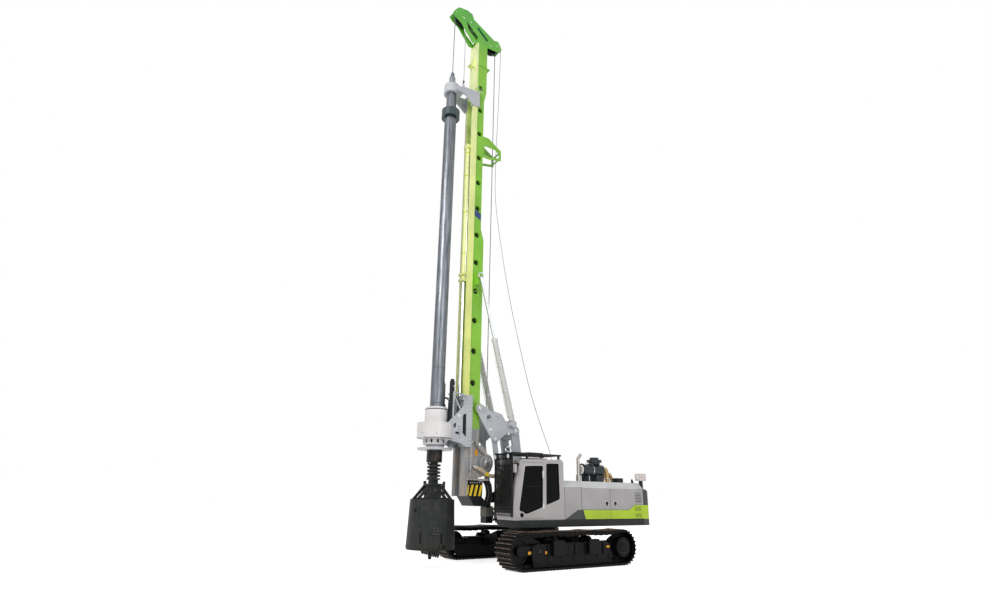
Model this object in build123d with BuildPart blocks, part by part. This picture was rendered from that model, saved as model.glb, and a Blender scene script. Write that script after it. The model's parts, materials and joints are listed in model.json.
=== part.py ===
"""Rotary piling rig on crawler tracks.

A swing upper carries a parallelogram linkage, a mast, a rotary drive on a crowd carriage,
and a kelly bar with a drilling bucket.

Millimetres.  X points forward from the swing axis, Y to the machine's left, Z up from the
ground.  The finished pieces are written about the middle of the machine's footprint.
Every piece of the mast and its linkage is drawn in side view and given its place across
the machine by two Y values, the nearer to the middle first.
"""

import os
from math import atan2, cos, degrees, hypot, pi, radians, sin, sqrt

from build123d import *

# --- clearances -------------------------------------------------------------------------
SEAT = 0.3  # a piece lying on the one that carries it
RUN = 5.0  # between pieces that move past each other
flat_count = 12
flat_limits = ((46, 12), (130, 20), (1000, 36))  # up to this radius, this many flats
wheel_flats = 36
shell_flats = 48
EYE_PLAY = 14.0  # round the pin at a cylinder's rod eye

# --- crawler undercarriage --------------------------------------------------------------
track_centre_y = 1665
shoe_width = 700
idler_x = 1860
sprocket_x = -1775
hub_height = 485
shoe_count = 46
grouser_height = 40
shoe_thickness = 22
chain_height = 90
chain_width = 200
top_run_sag = 22
sag_room = 1  # the sagging run leans on the end wheels a little off their tops
wheel_width = 110
track_frame_width = 370
track_frame_base_z = 300
track_frame_top_z = 640
bottom_roller_radius = 105
bottom_roller_count = 7
carrier_roller_radius = 78
carrier_roller_xs = (-560, 680)
final_drive_radius = 265
final_drive_reach = 290
axle_radius = 32
roller_skirt = 30
final_drive_cap = 150

car_body_length = 1560
car_body_width = 1800
car_body_base_z = 450
car_body_top_z = 860
leg_spacing = 1240
leg_depth = 520
swing_ring_radius = 740
swing_ring_top_z = 985
tow_eye_reach = 130
tow_eye_z = 620
tow_eye_radius = 40
tow_plate = 60
tow_plate_width = 260
step_xs = (650, -640)
step_half = 210
step_z = (350, 730)

# --- upper structure --------------------------------------------------------------------
half_width = 1490
deck_base_z = 1036
deck_top_z = 1223
tail_x = -3558
counterweight_front_x = -3258
bulkhead_x = 56
side_top_z = 2122
hood_top_z = 2300
hood_slope_width = 150
panel_thickness = 60
door_splits_x = (-620, -1800)  # front door's front edge, then the edge where the doors meet
door_gap = 8
handle_radius = 70
handle_xs = (-1647, -2001)
handle_z = 1668
deck_nose_x = 1040
deck_front_x = 1790
deck_side_step = 1000
side_box_front_x = 430
side_box_top_z = 1900
side_box_chamfer = 120

engine_length = 1500
engine_width = 900
engine_height = 850
engine_x = -1500
filter_drum = (-1926, -1110, 1000, 2660, 185)  # x from, x to, y, z, radius
pre_cleaner = (-1660, 2860, 237)  # x, foot of the cap, its radius
exhaust = (-970, 1000, 48)  # x, y, radius
exhaust_silencer = (75, 2480)  # radius, top
exhaust_bend = ((0, 2440), (0, 2980), (-120, 3110))  # x from the stack's axis, z
aux_winch = (-700, 2500)
aux_drum_half = 200
lamp_box = (-3540, -3290, 1180, 1420, 2380, 2590)

cab_inner_y = 600
cab_front_x = 1856
cab_roof_z = 2876
cab_wall = 55
cab_door_rear_x = 765
cab_roof_base_z = 2780
cab_corner = 70
cab_sill = (1822, 1362)  # front foot of the cab in x, height of its belly
cab_brow = (1638, 2719)
cab_roof_front = (1498, 2833)
cab_roof_rear = (120, 2875)
cab_windscreen_z = (1560, 2700)
cab_windscreen_margin = 75
door_margin = 45
cab_bulge = 45
door_window = ((1672, 1476), (1464, 2659), (819, 2685), (838, 1554), (1417, 1373))
quarter_window = ((211, 1771), (236, 2800), (705, 2772), (722, 1607))
inner_window = ((300, 1900), (300, 2650), (1400, 2650), (1500, 1900))
rear_window_z = (2300, 2680)
window_corner = 45
porthole = (1571, 1361)
porthole_radius = 75
guard_top_z = 3012
guard_depth = 46
guard_bar = 40
guard_post_x = 1902
guard_post_base_z = 1300
guard_mesh_zs = (1350, 1610, 2020, 2430, 2840)
guard_roof_bars = 8
guard_raised_x = (700, 1240)

# --- mast linkage, side view (x, z) ------------------------------------------------------
arm_foot = (700, 2050)
arm_head = (979, 3742)
strut_head = (1722, 3444)
cylinder_foot = (1172, 3919)
mast_pin = (2305, 4313)
luff_foot = (150, 1450)
luff_eye = (893, 3230)

arm_width = 100
arm_depth = 280
arm_cross_bar = 0.9  # share of the arm's length
arm_boss_radius = 130
strut_width = 50
strut_depth = 190
bracket_plate = 40
bracket_outline = (
    (2190, 4414),
    (1857, 4224),
    (1775, 4258),
    (1507, 4201),
    (1353, 3995),
    (1200, 4030),
    (890, 3837),
    (890, 3640),
    (1299, 3660),
    (1564, 3455),
    (1660, 3350),
    (1806, 3380),
    (1992, 3611),
    (2225, 3950),
    (2400, 4240),
)
bracket_hole = (1979, 4064)
bracket_hole_radius = 80
bracket_ring_radius = 115
bracket_ring_height = 12
bracket_bar = (1676, 4160)
bracket_bar_radius = 60
foot_outline = (
    (2575, 2140),
    (2575, 1830),
    (2411, 1600),
    (2390, 1565),
    (1821, 1555),
    (1821, 1660),
    (1938, 1660),
    (2128, 1800),
    (2110, 2140),
)
pin_radius = 55
mast_pin_radius = 75
deck_lug_plate = 40

luff_y = 130
luff_barrel_radius = 85
luff_barrel_length = 1080
luff_rod_radius = 50

# --- mast ---------------------------------------------------------------------------------
mast_half_width = 250
mast_front_x = 2610
mast_rear_x = 2220
mast_upper_rear_x = 2335
mast_taper_z = (9850, 10260)
mast_base_z = 3700
mast_top_z = 17870
top_collar_z = 16870
top_collar = 30
top_collar_rear_x = 2123
top_lug = ((2675, 16860), (2900, 16900), (2675, 17310))
top_lug_y = (70, 95)
top_box_front_x = 2680
top_box_rear_x = 2242
top_box_base_z = 15790
rail_inner_y = 150
rail_front_x = 2780
rail_top_z = 15700
side_hole_radius = 95
side_hole_x = 2484
side_hole_first_z = 5060
side_hole_pitch = 985
side_hole_count = 12
side_hole_depth = 90
side_hole_flats = 18

lower_mast_base_z = 2300
foot_half_width = 330
foot_box = (1630, 1850, 1100, 1560)  # x from, x to, z from, z to
foot_box_half_width = 150
foot_flange_x = (1870, 2640)
foot_flange = 40
rail_foot_z = 1825

mast_cylinder_eye = (2450, 8482)
mast_barrel_radius = 90
mast_barrel_length = 2560
mast_rod_radius = 50

crowd_x = 2790
crowd_barrel_radius = 85
crowd_bore_radius = 62
crowd_rod_radius = 45
crowd_barrel_base_z = 8330
crowd_barrel_top_z = 13330

winch_centre = (1990, 2760)
winch_drum_radius = 150
winch_flange_radius = 215
winch_frame_plate = 30
winch_cheek = (
    (2370, 2340),
    (2370, 3240),
    (2100, 3240),
    (2002, 3164),
    (1744, 2706),
    (1770, 2560),
    (1900, 2440),
    (2150, 2340),
)
winch_case = ((262, 25), (150, 55), (85, 45))  # radius and height of each tier, outwards

head_plate_inner_y = 115
head_plate = 25
head_outline = (
    (2257, 17900),
    (2852, 17900),
    (3332, 18531),
    (3602, 18690),
    (3714, 18813),
    (3615, 19011),
    (3468, 19205),
    (3093, 19279),
    (2884, 19214),
    (2797, 19004),
    (1868, 18514),
    (1685, 18565),
    (1512, 18259),
    (1643, 18056),
    (2187, 17991),
)
head_window = ((2640, 18060), (3030, 18400), (3130, 18760), (2911, 18574), (2600, 18290))
head_slot = (2400, 18510, 620, 130)  # x, z, length, width
head_slot_lean = 41
head_webs = ((2500, 18300), (2330, 18050))  # x and top of the plates that join the head
main_sheave_radius = 280
aux_sheave_radius = 200
main_sheave_width = 80
aux_sheave_width = 60
aux_rope_y = 80
main_rear_sheave = (2020, 18150)
aux_rear_sheave = (1730, 18290)
main_axle_radius = 40
aux_axle_radius = 25
head_sheave_z = 18790

basket_rear_x = 1560
basket_base_z = 13050
basket_top_z = 13900

# --- rotary drive and carriage -------------------------------------------------------------
kelly_x = 3539
carriage_plate = 40
carriage_side = (
    (2600, 3169),
    (2779, 3148),
    (2948, 3242),
    (3332, 3321),
    (3447, 3212),
    (3515, 3343),
    (3513, 3618),
    (3484, 3690),
    (3199, 3982),
    (2850, 4337),
    (2781, 4380),
    (2790, 4635),
    (2600, 4650),
)
carriage_slot = ((2774, 3416), (2904, 3536), (2909, 4019), (2869, 4083), (2785, 4090))
carriage_window = ((3117, 3670), (3308, 3680), (3123, 3823))
carriage_stay = ((3222, 3960), (3222, 4680), (2800, 4615))
carriage_diagonal = ((3224, 4600), (2988, 4200))
carriage_stay_width = 38
carriage_base_z = 3160
carriage_top_z = 4640
drive_flange_z = 3047
drive_flange_radius = 490
drive_flange_thickness = 50
gear_case_radius = 530
neck_slot_count = 12
neck_slot_z = (3230, 3330)
neck_slot_width = 55
flange_bolt_circle = 900
flange_bolt_count = 8
flange_bolt_radius = 15
drive_sleeve_top_z = 4261
gear_neck_z = (3187, 3382)
gear_case_top_z = 3777
gear_tier_top_z = 4170
gear_cap_top_z = 4240
motor_case_top_z = 4400
drive_sleeve_wall = 30
motor_radius = 100
motor_offset = 432
motor_angle = 40
motor_top_z = 5080

# --- kelly bar and bucket ------------------------------------------------------------------
kelly_tube_radius = 200
kelly_tube_wall = 30
kelly_play = 18  # round the keys in the drive's sleeve
kelly_key_height = 10
kelly_key_width = 60
kelly_key_count = 3
kelly_foot_z = 2715
kelly_collar_z = (14265, 14544)
kelly_collar_radius = 310
kelly_head_radius = 175
kelly_head_top_z = 15720
guide_ring_z = (15255, 15603)
guide_ring_radius = 270
guide_base_z = 15000
guide_side = ((2830, 15000), (3120, 15240), (3300, 15300), (3300, 15560), (2560, 15630), (2560, 15000))
swivel_top_z = 16235
swivel_waist = 185
inner_stub_radius = 110
spring_base_z = 2286
spring_turns = 4
spring_wire = 44
spring_radius = 168
spring_slack = 9.5  # the wire leans a little at its upper end
kelly_box_half = 100

bucket_top_z = 2142
bucket_frame_z = 1730
bucket_base_z = 515
bucket_radius = 660
bucket_taper = 55
bucket_frame_plate = ((-560, 1730), (-230, 2095), (230, 2095), (560, 1730))
bucket_frame_window = ((-420, 1775), (-190, 1775), (-190, 2000))
bucket_frame_y = (120, 150)
bucket_hole = (18, 1440)  # azimuth, z
bucket_hole_radius = 50
bucket_slots = (38, 87)
bucket_slot_z = (640, 900)
bucket_slot_width = 50
tooth_first = 190
tooth_pitch = 120
tooth_count = 4
tooth_reach = 170
tooth_width = 64
pilot = ((-75, 1), (75, 1), (30, -255), (-30, -255))  # x from the axis, z from the gate's underside
bucket_wall = 22
bucket_gate_thickness = 45
gate_pin_radius = 15
gate_knuckle_radius = 34
gate_knuckle_length = 100

# --- values that follow ----------------------------------------------------------------------
rail_outer_y = mast_half_width + 20
bracket_inner_y = mast_half_width + 100
arm_outer_y = bracket_inner_y - 10
arm_inner_y = arm_outer_y - arm_width
strut_inner_y = arm_outer_y - strut_width
carriage_plate_inner_y = rail_outer_y + 130
winch_inner_y = mast_half_width - 45
kelly_foot_radius = kelly_tube_radius + 20
inner_tube_radius = kelly_tube_radius - kelly_tube_wall - 15
drive_sleeve_bore_radius = kelly_tube_radius + kelly_key_height + kelly_play
drive_sleeve_radius = drive_sleeve_bore_radius + drive_sleeve_wall
gear_tier_radius = drive_sleeve_radius + 72
bucket_top_radius = bucket_radius - bucket_taper
gate_hinge_y = bucket_radius + 40
drive_bore_radius = drive_sleeve_radius + SEAT
final_drive_face = track_centre_y + final_drive_reach
centre_x = (kelly_x + bucket_radius + tail_x) / 2
gate_hinge_z = bucket_base_z - SEAT - bucket_gate_thickness / 2
wheel_radius = hub_height - grouser_height - shoe_thickness - chain_height - 2 * SEAT - sag_room
strut_foot = (strut_head[0] - arm_head[0] + arm_foot[0], strut_head[1] - arm_head[1] + arm_foot[1])
bracket_outer_y = bracket_inner_y + bracket_plate
mast_cylinder_y = bracket_outer_y + 100
head_sheave_x = kelly_x - main_sheave_radius
aux_head_sheave_x = head_sheave_x - 345


# --- drawing helpers ---------------------------------------------------------------------------
def side_view(y):
    """The plane at y whose sketch axes are the machine's X and Z."""
    return Plane.XZ.offset(-y)


def disc(radius, mode=Mode.ADD):
    """A round hole, or a bar drawn with flats, more of them the larger it is."""
    if mode is Mode.SUBTRACT:
        Circle(radius)
    else:
        RegularPolygon(radius, side_count=next(count for limit, count in flat_limits if radius < limit))


def across(side, near, far):
    """The two y values of a plate on one side of the machine, the smaller first."""
    return sorted((side * near, side * far))


def outline(points, y_from, y_to, mode=Mode.ADD):
    """A plate with straight edges, drawn in side view, from one y to a larger one."""
    with BuildSketch(side_view(y_to)) as shape:
        with BuildLine():
            Polyline(*points, close=True)
        make_face()
    extrude(shape.sketch, amount=y_to - y_from, mode=mode)


def cross_pin(place, radius, y_from, y_to, mode=Mode.ADD):
    """A round bar or hole across the machine."""
    with BuildSketch(side_view(y_to)) as shape:
        with Locations(place):
            disc(radius, mode)
    extrude(shape.sketch, amount=y_to - y_from, mode=mode)


def upright(x, y, radius, z_from, z_to, mode=Mode.ADD):
    """A round vertical bar or hole."""
    with BuildSketch(Plane.XY.offset(z_from)) as shape:
        with Locations((x, y)):
            disc(radius, mode)
    extrude(shape.sketch, amount=z_to - z_from, mode=mode)


def along(start, end, y=0.0):
    """The plane at a side-view point whose normal runs to another one."""
    return Plane(
        origin=(start[0], y, start[1]),
        x_dir=(0, 1, 0),
        z_dir=(end[0] - start[0], 0, end[1] - start[1]),
    )


def block(x_range, y_range, z_range, mode=Mode.ADD):
    """A rectangular block between two corners."""
    with BuildSketch(Plane.XY.offset(z_range[0])) as shape:
        with Locations(((x_range[0] + x_range[1]) / 2, (y_range[0] + y_range[1]) / 2)):
            Rectangle(x_range[1] - x_range[0], y_range[1] - y_range[0])
    extrude(shape.sketch, amount=z_range[1] - z_range[0], mode=mode)


def stack(x, y, tiers):
    """Round bars standing on one another, each a (radius, foot, head)."""
    for index, (radius, low, high) in enumerate(tiers):
        upright(x, y, radius, low - (1 if index else 0), high)


def fore_bar(y, z, radius, x_from, x_to, mode=Mode.ADD):
    """A round bar or hole along the machine."""
    with BuildSketch(Plane.YZ.offset(x_from)) as shape:
        with Locations((y, z)):
            disc(radius, mode)
    extrude(shape.sketch, amount=x_to - x_from, mode=mode)


def save(piece, name):
    """Write one finished piece about the middle of the machine's footprint."""
    solid = piece.part.moved(Location((-centre_x, 0, 0)))
    solid.label = name
    export_step(solid, f"parts/{name}.step")


# --- tracks ------------------------------------------------------------------------------------
def track_point(share, depth):
    """The (x, z) place on the track's loop, this share of the way round and this deep."""
    radius = hub_height - grouser_height - depth
    straight = idler_x - sprocket_x
    turn = pi * (hub_height - grouser_height)
    place = share * 2 * (straight + turn)
    if place < straight:
        return (sprocket_x + place, hub_height - radius)
    place -= straight
    if place < turn:
        angle = -pi / 2 + pi * place / turn
        return (idler_x + radius * cos(angle), hub_height + radius * sin(angle))
    place -= turn
    if place < straight:
        x = idler_x - place
        supports = (sprocket_x, *carrier_roller_xs, idler_x)
        left, right = next((a, b) for a, b in zip(supports, supports[1:]) if a - 1 <= x <= b + 1)
        reach = (x - left) / (right - left)
        return (x, hub_height + radius - top_run_sag * 4 * reach * (1 - reach))
    place -= straight
    angle = pi / 2 + pi * place / turn
    return (sprocket_x + radius * cos(angle), hub_height + radius * sin(angle))


def shoe_outline():
    """Every shoe's plate and grouser, round the loop."""
    corners = (  # share of the pitch, depth under the plate's outer face
        (0.06, 0),
        (0.14, -grouser_height),
        (0.26, -grouser_height),
        (0.32, 0),
        (0.98, shoe_thickness * 0.3),
    )
    return [
        track_point((index + share) / shoe_count, depth)
        for index in range(shoe_count)
        for share, depth in corners
    ]


def wheel(x, z, y, radius, width, hub_radius, dish):
    """A track wheel with a dished web on both faces."""
    cross_pin((x, z), radius, y - width / 2, y + width / 2)
    for face in (-1, 1):
        cut = sorted((y + face * width / 2, y + face * (width / 2 - dish)))
        with BuildSketch(side_view(cut[1])) as ring:
            with Locations((x, z)):
                RegularPolygon(radius - 50, side_count=wheel_flats)
                RegularPolygon(hub_radius, side_count=flat_limits[1][1], mode=Mode.SUBTRACT)
        extrude(ring.sketch, amount=dish, mode=Mode.SUBTRACT)


def loop_face(y, depth):
    """The loop at one depth: straight below, round at the ends, sagging above."""
    radius = hub_height - grouser_height - depth
    low = hub_height - radius
    high = hub_height + radius
    supports = (sprocket_x, *carrier_roller_xs, idler_x)
    with BuildSketch(side_view(y)) as shape:
        with BuildLine():
            Line((sprocket_x, low), (idler_x, low))
            ThreePointArc((idler_x, low), (idler_x + radius, hub_height), (idler_x, high))
            for left, right in zip(supports, supports[1:]):
                ThreePointArc((right, high), ((left + right) / 2, high - top_run_sag), (left, high))
            ThreePointArc((sprocket_x, high), (sprocket_x - radius, hub_height), (sprocket_x, low))
        make_face()
    return shape.sketch


def track(side):
    """One track: a closed loop of shoes on its chain."""
    with BuildPart() as loop:
        chain_top = shoe_thickness
        chain_bottom = shoe_thickness + chain_height
        y = side * track_centre_y
        with BuildSketch(side_view(y + shoe_width / 2)):
            with BuildLine():
                Polyline(*shoe_outline(), close=True)
            make_face()
        extrude(amount=shoe_width)
        extrude(loop_face(y + shoe_width / 2, chain_top), amount=shoe_width, mode=Mode.SUBTRACT)
        extrude(loop_face(y + chain_width / 2, chain_top - 4), amount=chain_width)
        extrude(loop_face(y + chain_width / 2, chain_bottom), amount=chain_width, mode=Mode.SUBTRACT)
    return loop


def track_wheels(side):
    """Idler, sprocket with its final drive, and rollers of one track."""
    y = side * track_centre_y
    bottom_z = hub_height - wheel_radius + bottom_roller_radius - sag_room
    carrier_z = hub_height + wheel_radius - carrier_roller_radius + sag_room - SEAT
    axle_end = track_frame_width / 2 - roller_skirt - SEAT
    rollers = [(roller_x(i), bottom_z, bottom_roller_radius) for i in range(bottom_roller_count)]
    rollers += [(x, carrier_z, carrier_roller_radius) for x in carrier_roller_xs]
    with BuildPart() as wheels:
        wheel(idler_x, hub_height, y, wheel_radius, wheel_width, 110, 30)
        cross_pin((idler_x, hub_height), 60, y - 100, y + 100)
        cross_pin((sprocket_x, hub_height), wheel_radius, y - wheel_width / 2, y + wheel_width / 2)
        hub = (sprocket_x, hub_height)
        cross_pin(hub, final_drive_radius, *across(side, track_centre_y, final_drive_face))
        cross_pin(hub, final_drive_cap, *across(side, final_drive_face, final_drive_face + 30))
        inner = track_centre_y - track_frame_width / 2 + 40 + SEAT
        cross_pin((sprocket_x, hub_height), final_drive_radius - 30, *across(side, inner, track_centre_y))
        for x, z, radius in rollers:
            cross_pin((x, z), radius, y - 140, y + 140)
            cross_pin((x, z), axle_radius, y - axle_end, y + axle_end)
    return wheels


def roller_x(index):
    """The place of one bottom roller along the frame."""
    first = sprocket_x + 470
    last = idler_x - 470
    return first + (last - first) * index / (bottom_roller_count - 1)


def track_frame(side):
    """A side frame: beam, roller skirts, idler yoke, final drive seat and steps."""
    half = track_frame_width / 2
    near = track_centre_y - half
    far = track_centre_y + half
    bottom_z = hub_height - wheel_radius + bottom_roller_radius
    beam = (
        (sprocket_x + 430, track_frame_base_z + 30),
        (idler_x - 350, track_frame_base_z + 30),
        (idler_x - 350, track_frame_top_z - 60),
        (idler_x - 480, track_frame_top_z),
        (sprocket_x + 560, track_frame_top_z),
        (sprocket_x + 430, track_frame_top_z - 90),
    )
    skirt = (
        (sprocket_x + 380, bottom_z - 45),
        (idler_x - 380, bottom_z - 45),
        (idler_x - 350, track_frame_base_z + 60),
        (sprocket_x + 350, track_frame_base_z + 60),
    )
    post_top = hub_height + wheel_radius - carrier_roller_radius + 40
    with BuildPart() as frame:
        outline(beam, *across(side, near, far))
        hollow = across(side, near + roller_skirt, far - roller_skirt)
        for index in range(bottom_roller_count):
            cross_pin((roller_x(index), bottom_z), bottom_roller_radius + RUN, *hollow, Mode.SUBTRACT)
        for inner, outer in ((near, near + roller_skirt), (far - roller_skirt, far)):
            outline(skirt, *across(side, inner, outer))
            for x in carrier_roller_xs:
                foot = ((x - 90, track_frame_top_z - 10), (x + 90, track_frame_top_z - 10))
                outline((*foot, (x + 50, post_top), (x - 50, post_top)), *across(side, inner, outer))
        for inner, outer in ((-145, -100 - SEAT), (100 + SEAT, 145)):
            y = across(side, track_centre_y + inner, track_centre_y + outer)
            cross_pin((idler_x, hub_height), 120, *y)
            block((idler_x - 420, idler_x), y, (hub_height - 120, hub_height + 120))
        seat = across(side, near, near + 40)
        cross_pin((sprocket_x, hub_height), final_drive_radius + 10, *seat)
        block((sprocket_x, sprocket_x + 520), seat, (hub_height - 165, hub_height + 165))
        for x in step_xs:
            step_box(x, side, far)
    return frame


def step_box(x, side, frame_face):
    """A hollow tread box on the outside of a side frame."""
    z_from, z_to = step_z
    face = track_centre_y + shoe_width / 2 - 60
    outer = (
        (x - step_half, z_from),
        (x + step_half, z_from),
        (x + step_half, z_to - 70),
        (x + step_half - 40, z_to),
        (x - step_half + 40, z_to),
        (x - step_half, z_to - 70),
    )
    outline(outer, *across(side, frame_face - 5, face))
    for low, high in ((z_from + 40, z_from + 165), (z_from + 205, z_to - 60)):
        pocket = across(side, face - 95, face + 1)
        block((x - step_half + 35, x + step_half - 35), pocket, (low, high), Mode.SUBTRACT)


def tow_eye(end):
    """A lying plate with a hole for an upright pin."""
    face_x = end * car_body_length / 2
    eye_x = face_x + end * tow_eye_reach
    half = tow_plate_width / 2
    z_from = tow_eye_z - tow_plate / 2
    plan = (
        (face_x - end * 5, -half),
        (eye_x, -half * 0.6),
        (eye_x + end * half * 0.6, 0),
        (eye_x, half * 0.6),
        (face_x - end * 5, half),
    )
    with BuildSketch(Plane.XY.offset(z_from)) as shape:
        with BuildLine():
            Polyline(*plan, close=True)
        make_face()
        with Locations((eye_x, 0)):
            Circle(half * 0.6)
            Circle(tow_eye_radius, mode=Mode.SUBTRACT)
    extrude(shape.sketch, amount=tow_plate)


def swing_ring(radius, z_from, z_to):
    """One round half of the swing ring, about the swing axis."""
    with BuildSketch(Plane.XY.offset(z_from)) as ring:
        Circle(radius)
    extrude(ring.sketch, amount=z_to - z_from)


def barrel(place, radius, y_from, y_to):
    """The truly round barrel of a rope drum."""
    with BuildSketch(side_view(y_to)) as ring:
        with Locations(place):
            Circle(radius)
    extrude(ring.sketch, amount=y_to - y_from)


def car_body_leg(side, end):
    """A leg that gets flatter from the centre to a side frame."""
    root = car_body_width * 0.4
    leg_end = track_centre_y - track_frame_width / 2
    section = (
        (side * root, car_body_base_z + 10),
        (side * leg_end, track_frame_base_z + 70),
        (side * leg_end, track_frame_top_z - 20),
        (side * root, car_body_top_z - 10),
    )
    x_from = end * leg_spacing / 2 - leg_depth / 2
    with BuildSketch(Plane.YZ.offset(x_from)) as shape:
        with BuildLine():
            Polyline(*section, close=True)
        make_face()
    extrude(shape.sketch, amount=leg_depth)


def car_body():
    """The centre of the undercarriage with four legs and the fixed half of the swing ring."""
    with BuildPart() as body:
        with BuildSketch(Plane.XY.offset(car_body_base_z)) as plan:
            Rectangle(car_body_length, car_body_width)
            chamfer(plan.vertices(), 260)
        extrude(amount=car_body_top_z - car_body_base_z)
        for side in (-1, 1):
            for end in (-1, 1):
                car_body_leg(side, end)
        swing_ring(swing_ring_radius, car_body_top_z, swing_ring_top_z)
        for end in (-1, 1):
            tow_eye(end)
    return body


def frame_web(side):
    """One long upright plate of the deck that carries an arm and a strut."""
    inner = arm_outer_y + 2 * RUN
    y = across(side, inner, inner + deck_lug_plate)
    web = (
        (arm_foot[0] - 420, deck_top_z - 5),
        (deck_nose_x - 20, deck_top_z - 5),
        (deck_nose_x + 110, strut_foot[1] - 90),
        (strut_foot[0] + 20, strut_foot[1] - 110),
        (strut_foot[0] + 90, strut_foot[1] + 80),
        (arm_foot[0] + 110, arm_foot[1] + 120),
        (arm_foot[0] - 110, arm_foot[1] + 120),
        (arm_foot[0] - 180, arm_foot[1] - 80),
    )
    outline(web, *y)
    pin_end = inner + deck_lug_plate + 20
    for foot, pin_start in ((arm_foot, arm_inner_y), (strut_foot, strut_inner_y)):
        cross_pin(foot, 115, *y)
        cross_pin(foot, pin_radius, *across(side, pin_start - 20, pin_end))
        cross_pin(foot, pin_radius + 25, *across(side, inner + deck_lug_plate, pin_end))


def luff_lugs(side):
    """Two cheeks and a pin that hold the foot of one luffing cylinder."""
    reach = luff_barrel_radius - 5
    cheek = (
        (luff_foot[0] - 70, deck_top_z - 5),
        (luff_foot[0] + 170, deck_top_z - 5),
        (luff_foot[0] + 60, luff_foot[1] + 60),
        (luff_foot[0] - 60, luff_foot[1] + 60),
    )
    for edge in (-1, 1):
        y = side * luff_y + edge * reach
        outline(cheek, y - 12, y + 12)
    cross_pin(luff_foot, 40, side * luff_y - luff_barrel_radius, side * luff_y + luff_barrel_radius)


# --- upper structure ------------------------------------------------------------------------------
def upper_frame():
    """The deck with its swing ring half, two webs, and the lugs of the luffing cylinders."""
    deck = (
        (counterweight_front_x, half_width),
        (deck_front_x, half_width),
        (deck_front_x, cab_inner_y + cab_corner),
        (deck_front_x - cab_corner, cab_inner_y),
        (deck_nose_x, cab_inner_y - 100),
        (deck_nose_x, -cab_inner_y + 100),
        (side_box_front_x, -deck_side_step),
        (side_box_front_x, -half_width),
        (counterweight_front_x, -half_width),
    )
    with BuildPart() as frame:
        with BuildSketch(Plane.XY.offset(deck_base_z)):
            with BuildLine():
                Polyline(*deck, close=True)
            make_face()
        extrude(amount=deck_top_z - deck_base_z)
        swing_ring(swing_ring_radius - 40, swing_ring_top_z + SEAT, deck_base_z + 1)
        for side in (-1, 1):
            frame_web(side)
            luff_lugs(side)
    return frame


def counterweight():
    """The cast weight that closes the tail, with the lamp box on it."""
    with BuildPart() as weight:
        with BuildSketch(Plane.XY.offset(deck_base_z)):
            with Locations(((tail_x + counterweight_front_x) / 2 - SEAT / 2, 0)):
                Rectangle(counterweight_front_x - tail_x - SEAT, 2 * half_width)
        extrude(amount=side_top_z - deck_base_z)
        edges = weight.edges().filter_by(Axis.Z).group_by(Axis.X)[0]
        fillet(edges, 120)
        top = weight.faces().sort_by(Axis.Z)[-1]
        chamfer(top.edges().filter_by(Axis.Y).sort_by(Axis.X)[0], 60)
        x_from, x_to, y_from, y_to, z_from, z_to = lamp_box
        block((x_from, x_to), (y_from, y_to), (z_from, z_to))
        x = (x_from + x_to) / 2
        y = (y_from + y_to) / 2
        block((x - 30, x + 30), (y - 60, y + 60), (side_top_z - 5, z_from + 5))
    return weight


def engine_hood():
    """The roof over the engine with sloped sides."""
    section = (
        (-half_width, side_top_z),
        (half_width, side_top_z),
        (half_width - hood_slope_width, hood_top_z),
        (-half_width + hood_slope_width, hood_top_z),
    )
    with BuildPart() as hood:
        with BuildSketch(Plane.YZ.offset(counterweight_front_x)):
            with BuildLine():
                Polyline(*section, close=True)
            make_face()
            with BuildLine():
                Polyline(
                    (-half_width + panel_thickness + 60, side_top_z),
                    (half_width - panel_thickness - 60, side_top_z),
                    (half_width - hood_slope_width - 60, hood_top_z - panel_thickness),
                    (-half_width + hood_slope_width + 60, hood_top_z - panel_thickness),
                    close=True,
                )
            make_face(mode=Mode.SUBTRACT)
        extrude(amount=bulkhead_x - counterweight_front_x)
    return hood


def side_panel(x_from, x_to, side):
    """A flat upright panel of the engine housing."""
    y = across(side, half_width - panel_thickness, half_width)
    with BuildPart() as panel:
        block((x_from, x_to), y, (deck_top_z + SEAT, side_top_z - SEAT))
    return panel


def service_door(x_from, x_to, handle_x):
    """A side door with a round recessed handle, hinged at the edge away from it."""
    y = half_width - panel_thickness
    gap_from, gap_to = (door_gap, SEAT) if handle_x < (x_from + x_to) / 2 else (SEAT, door_gap)
    with BuildPart() as door:
        z_range = (deck_top_z + door_gap, side_top_z - door_gap)
        block((x_from + gap_from, x_to - gap_to), (y, half_width), z_range)
        cross_pin((handle_x, handle_z), handle_radius, half_width - 28, half_width, Mode.SUBTRACT)
    return door


def front_bulkhead():
    """The wall between the engine and the front deck."""
    wall = (
        (-half_width + panel_thickness + SEAT, deck_top_z + SEAT),
        (half_width - panel_thickness - SEAT, deck_top_z + SEAT),
        (half_width - panel_thickness - SEAT, side_top_z - SEAT),
        (-half_width + panel_thickness + SEAT, side_top_z - SEAT),
    )
    with BuildPart() as bulkhead:
        with BuildSketch(Plane.YZ.offset(bulkhead_x - panel_thickness)):
            with BuildLine():
                Polyline(*wall, close=True)
            make_face()
        extrude(amount=panel_thickness)
    return bulkhead


def engine_block():
    """Engine and pumps as one plain block on their mounts."""
    with BuildPart() as engine:
        block(
            (engine_x - engine_length / 2, engine_x + engine_length / 2),
            (-engine_width / 2, engine_width / 2),
            (deck_top_z + SEAT, deck_top_z + engine_height),
        )
        chamfer(engine.faces().sort_by(Axis.Z)[-1].edges(), 80)
    return engine


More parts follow.
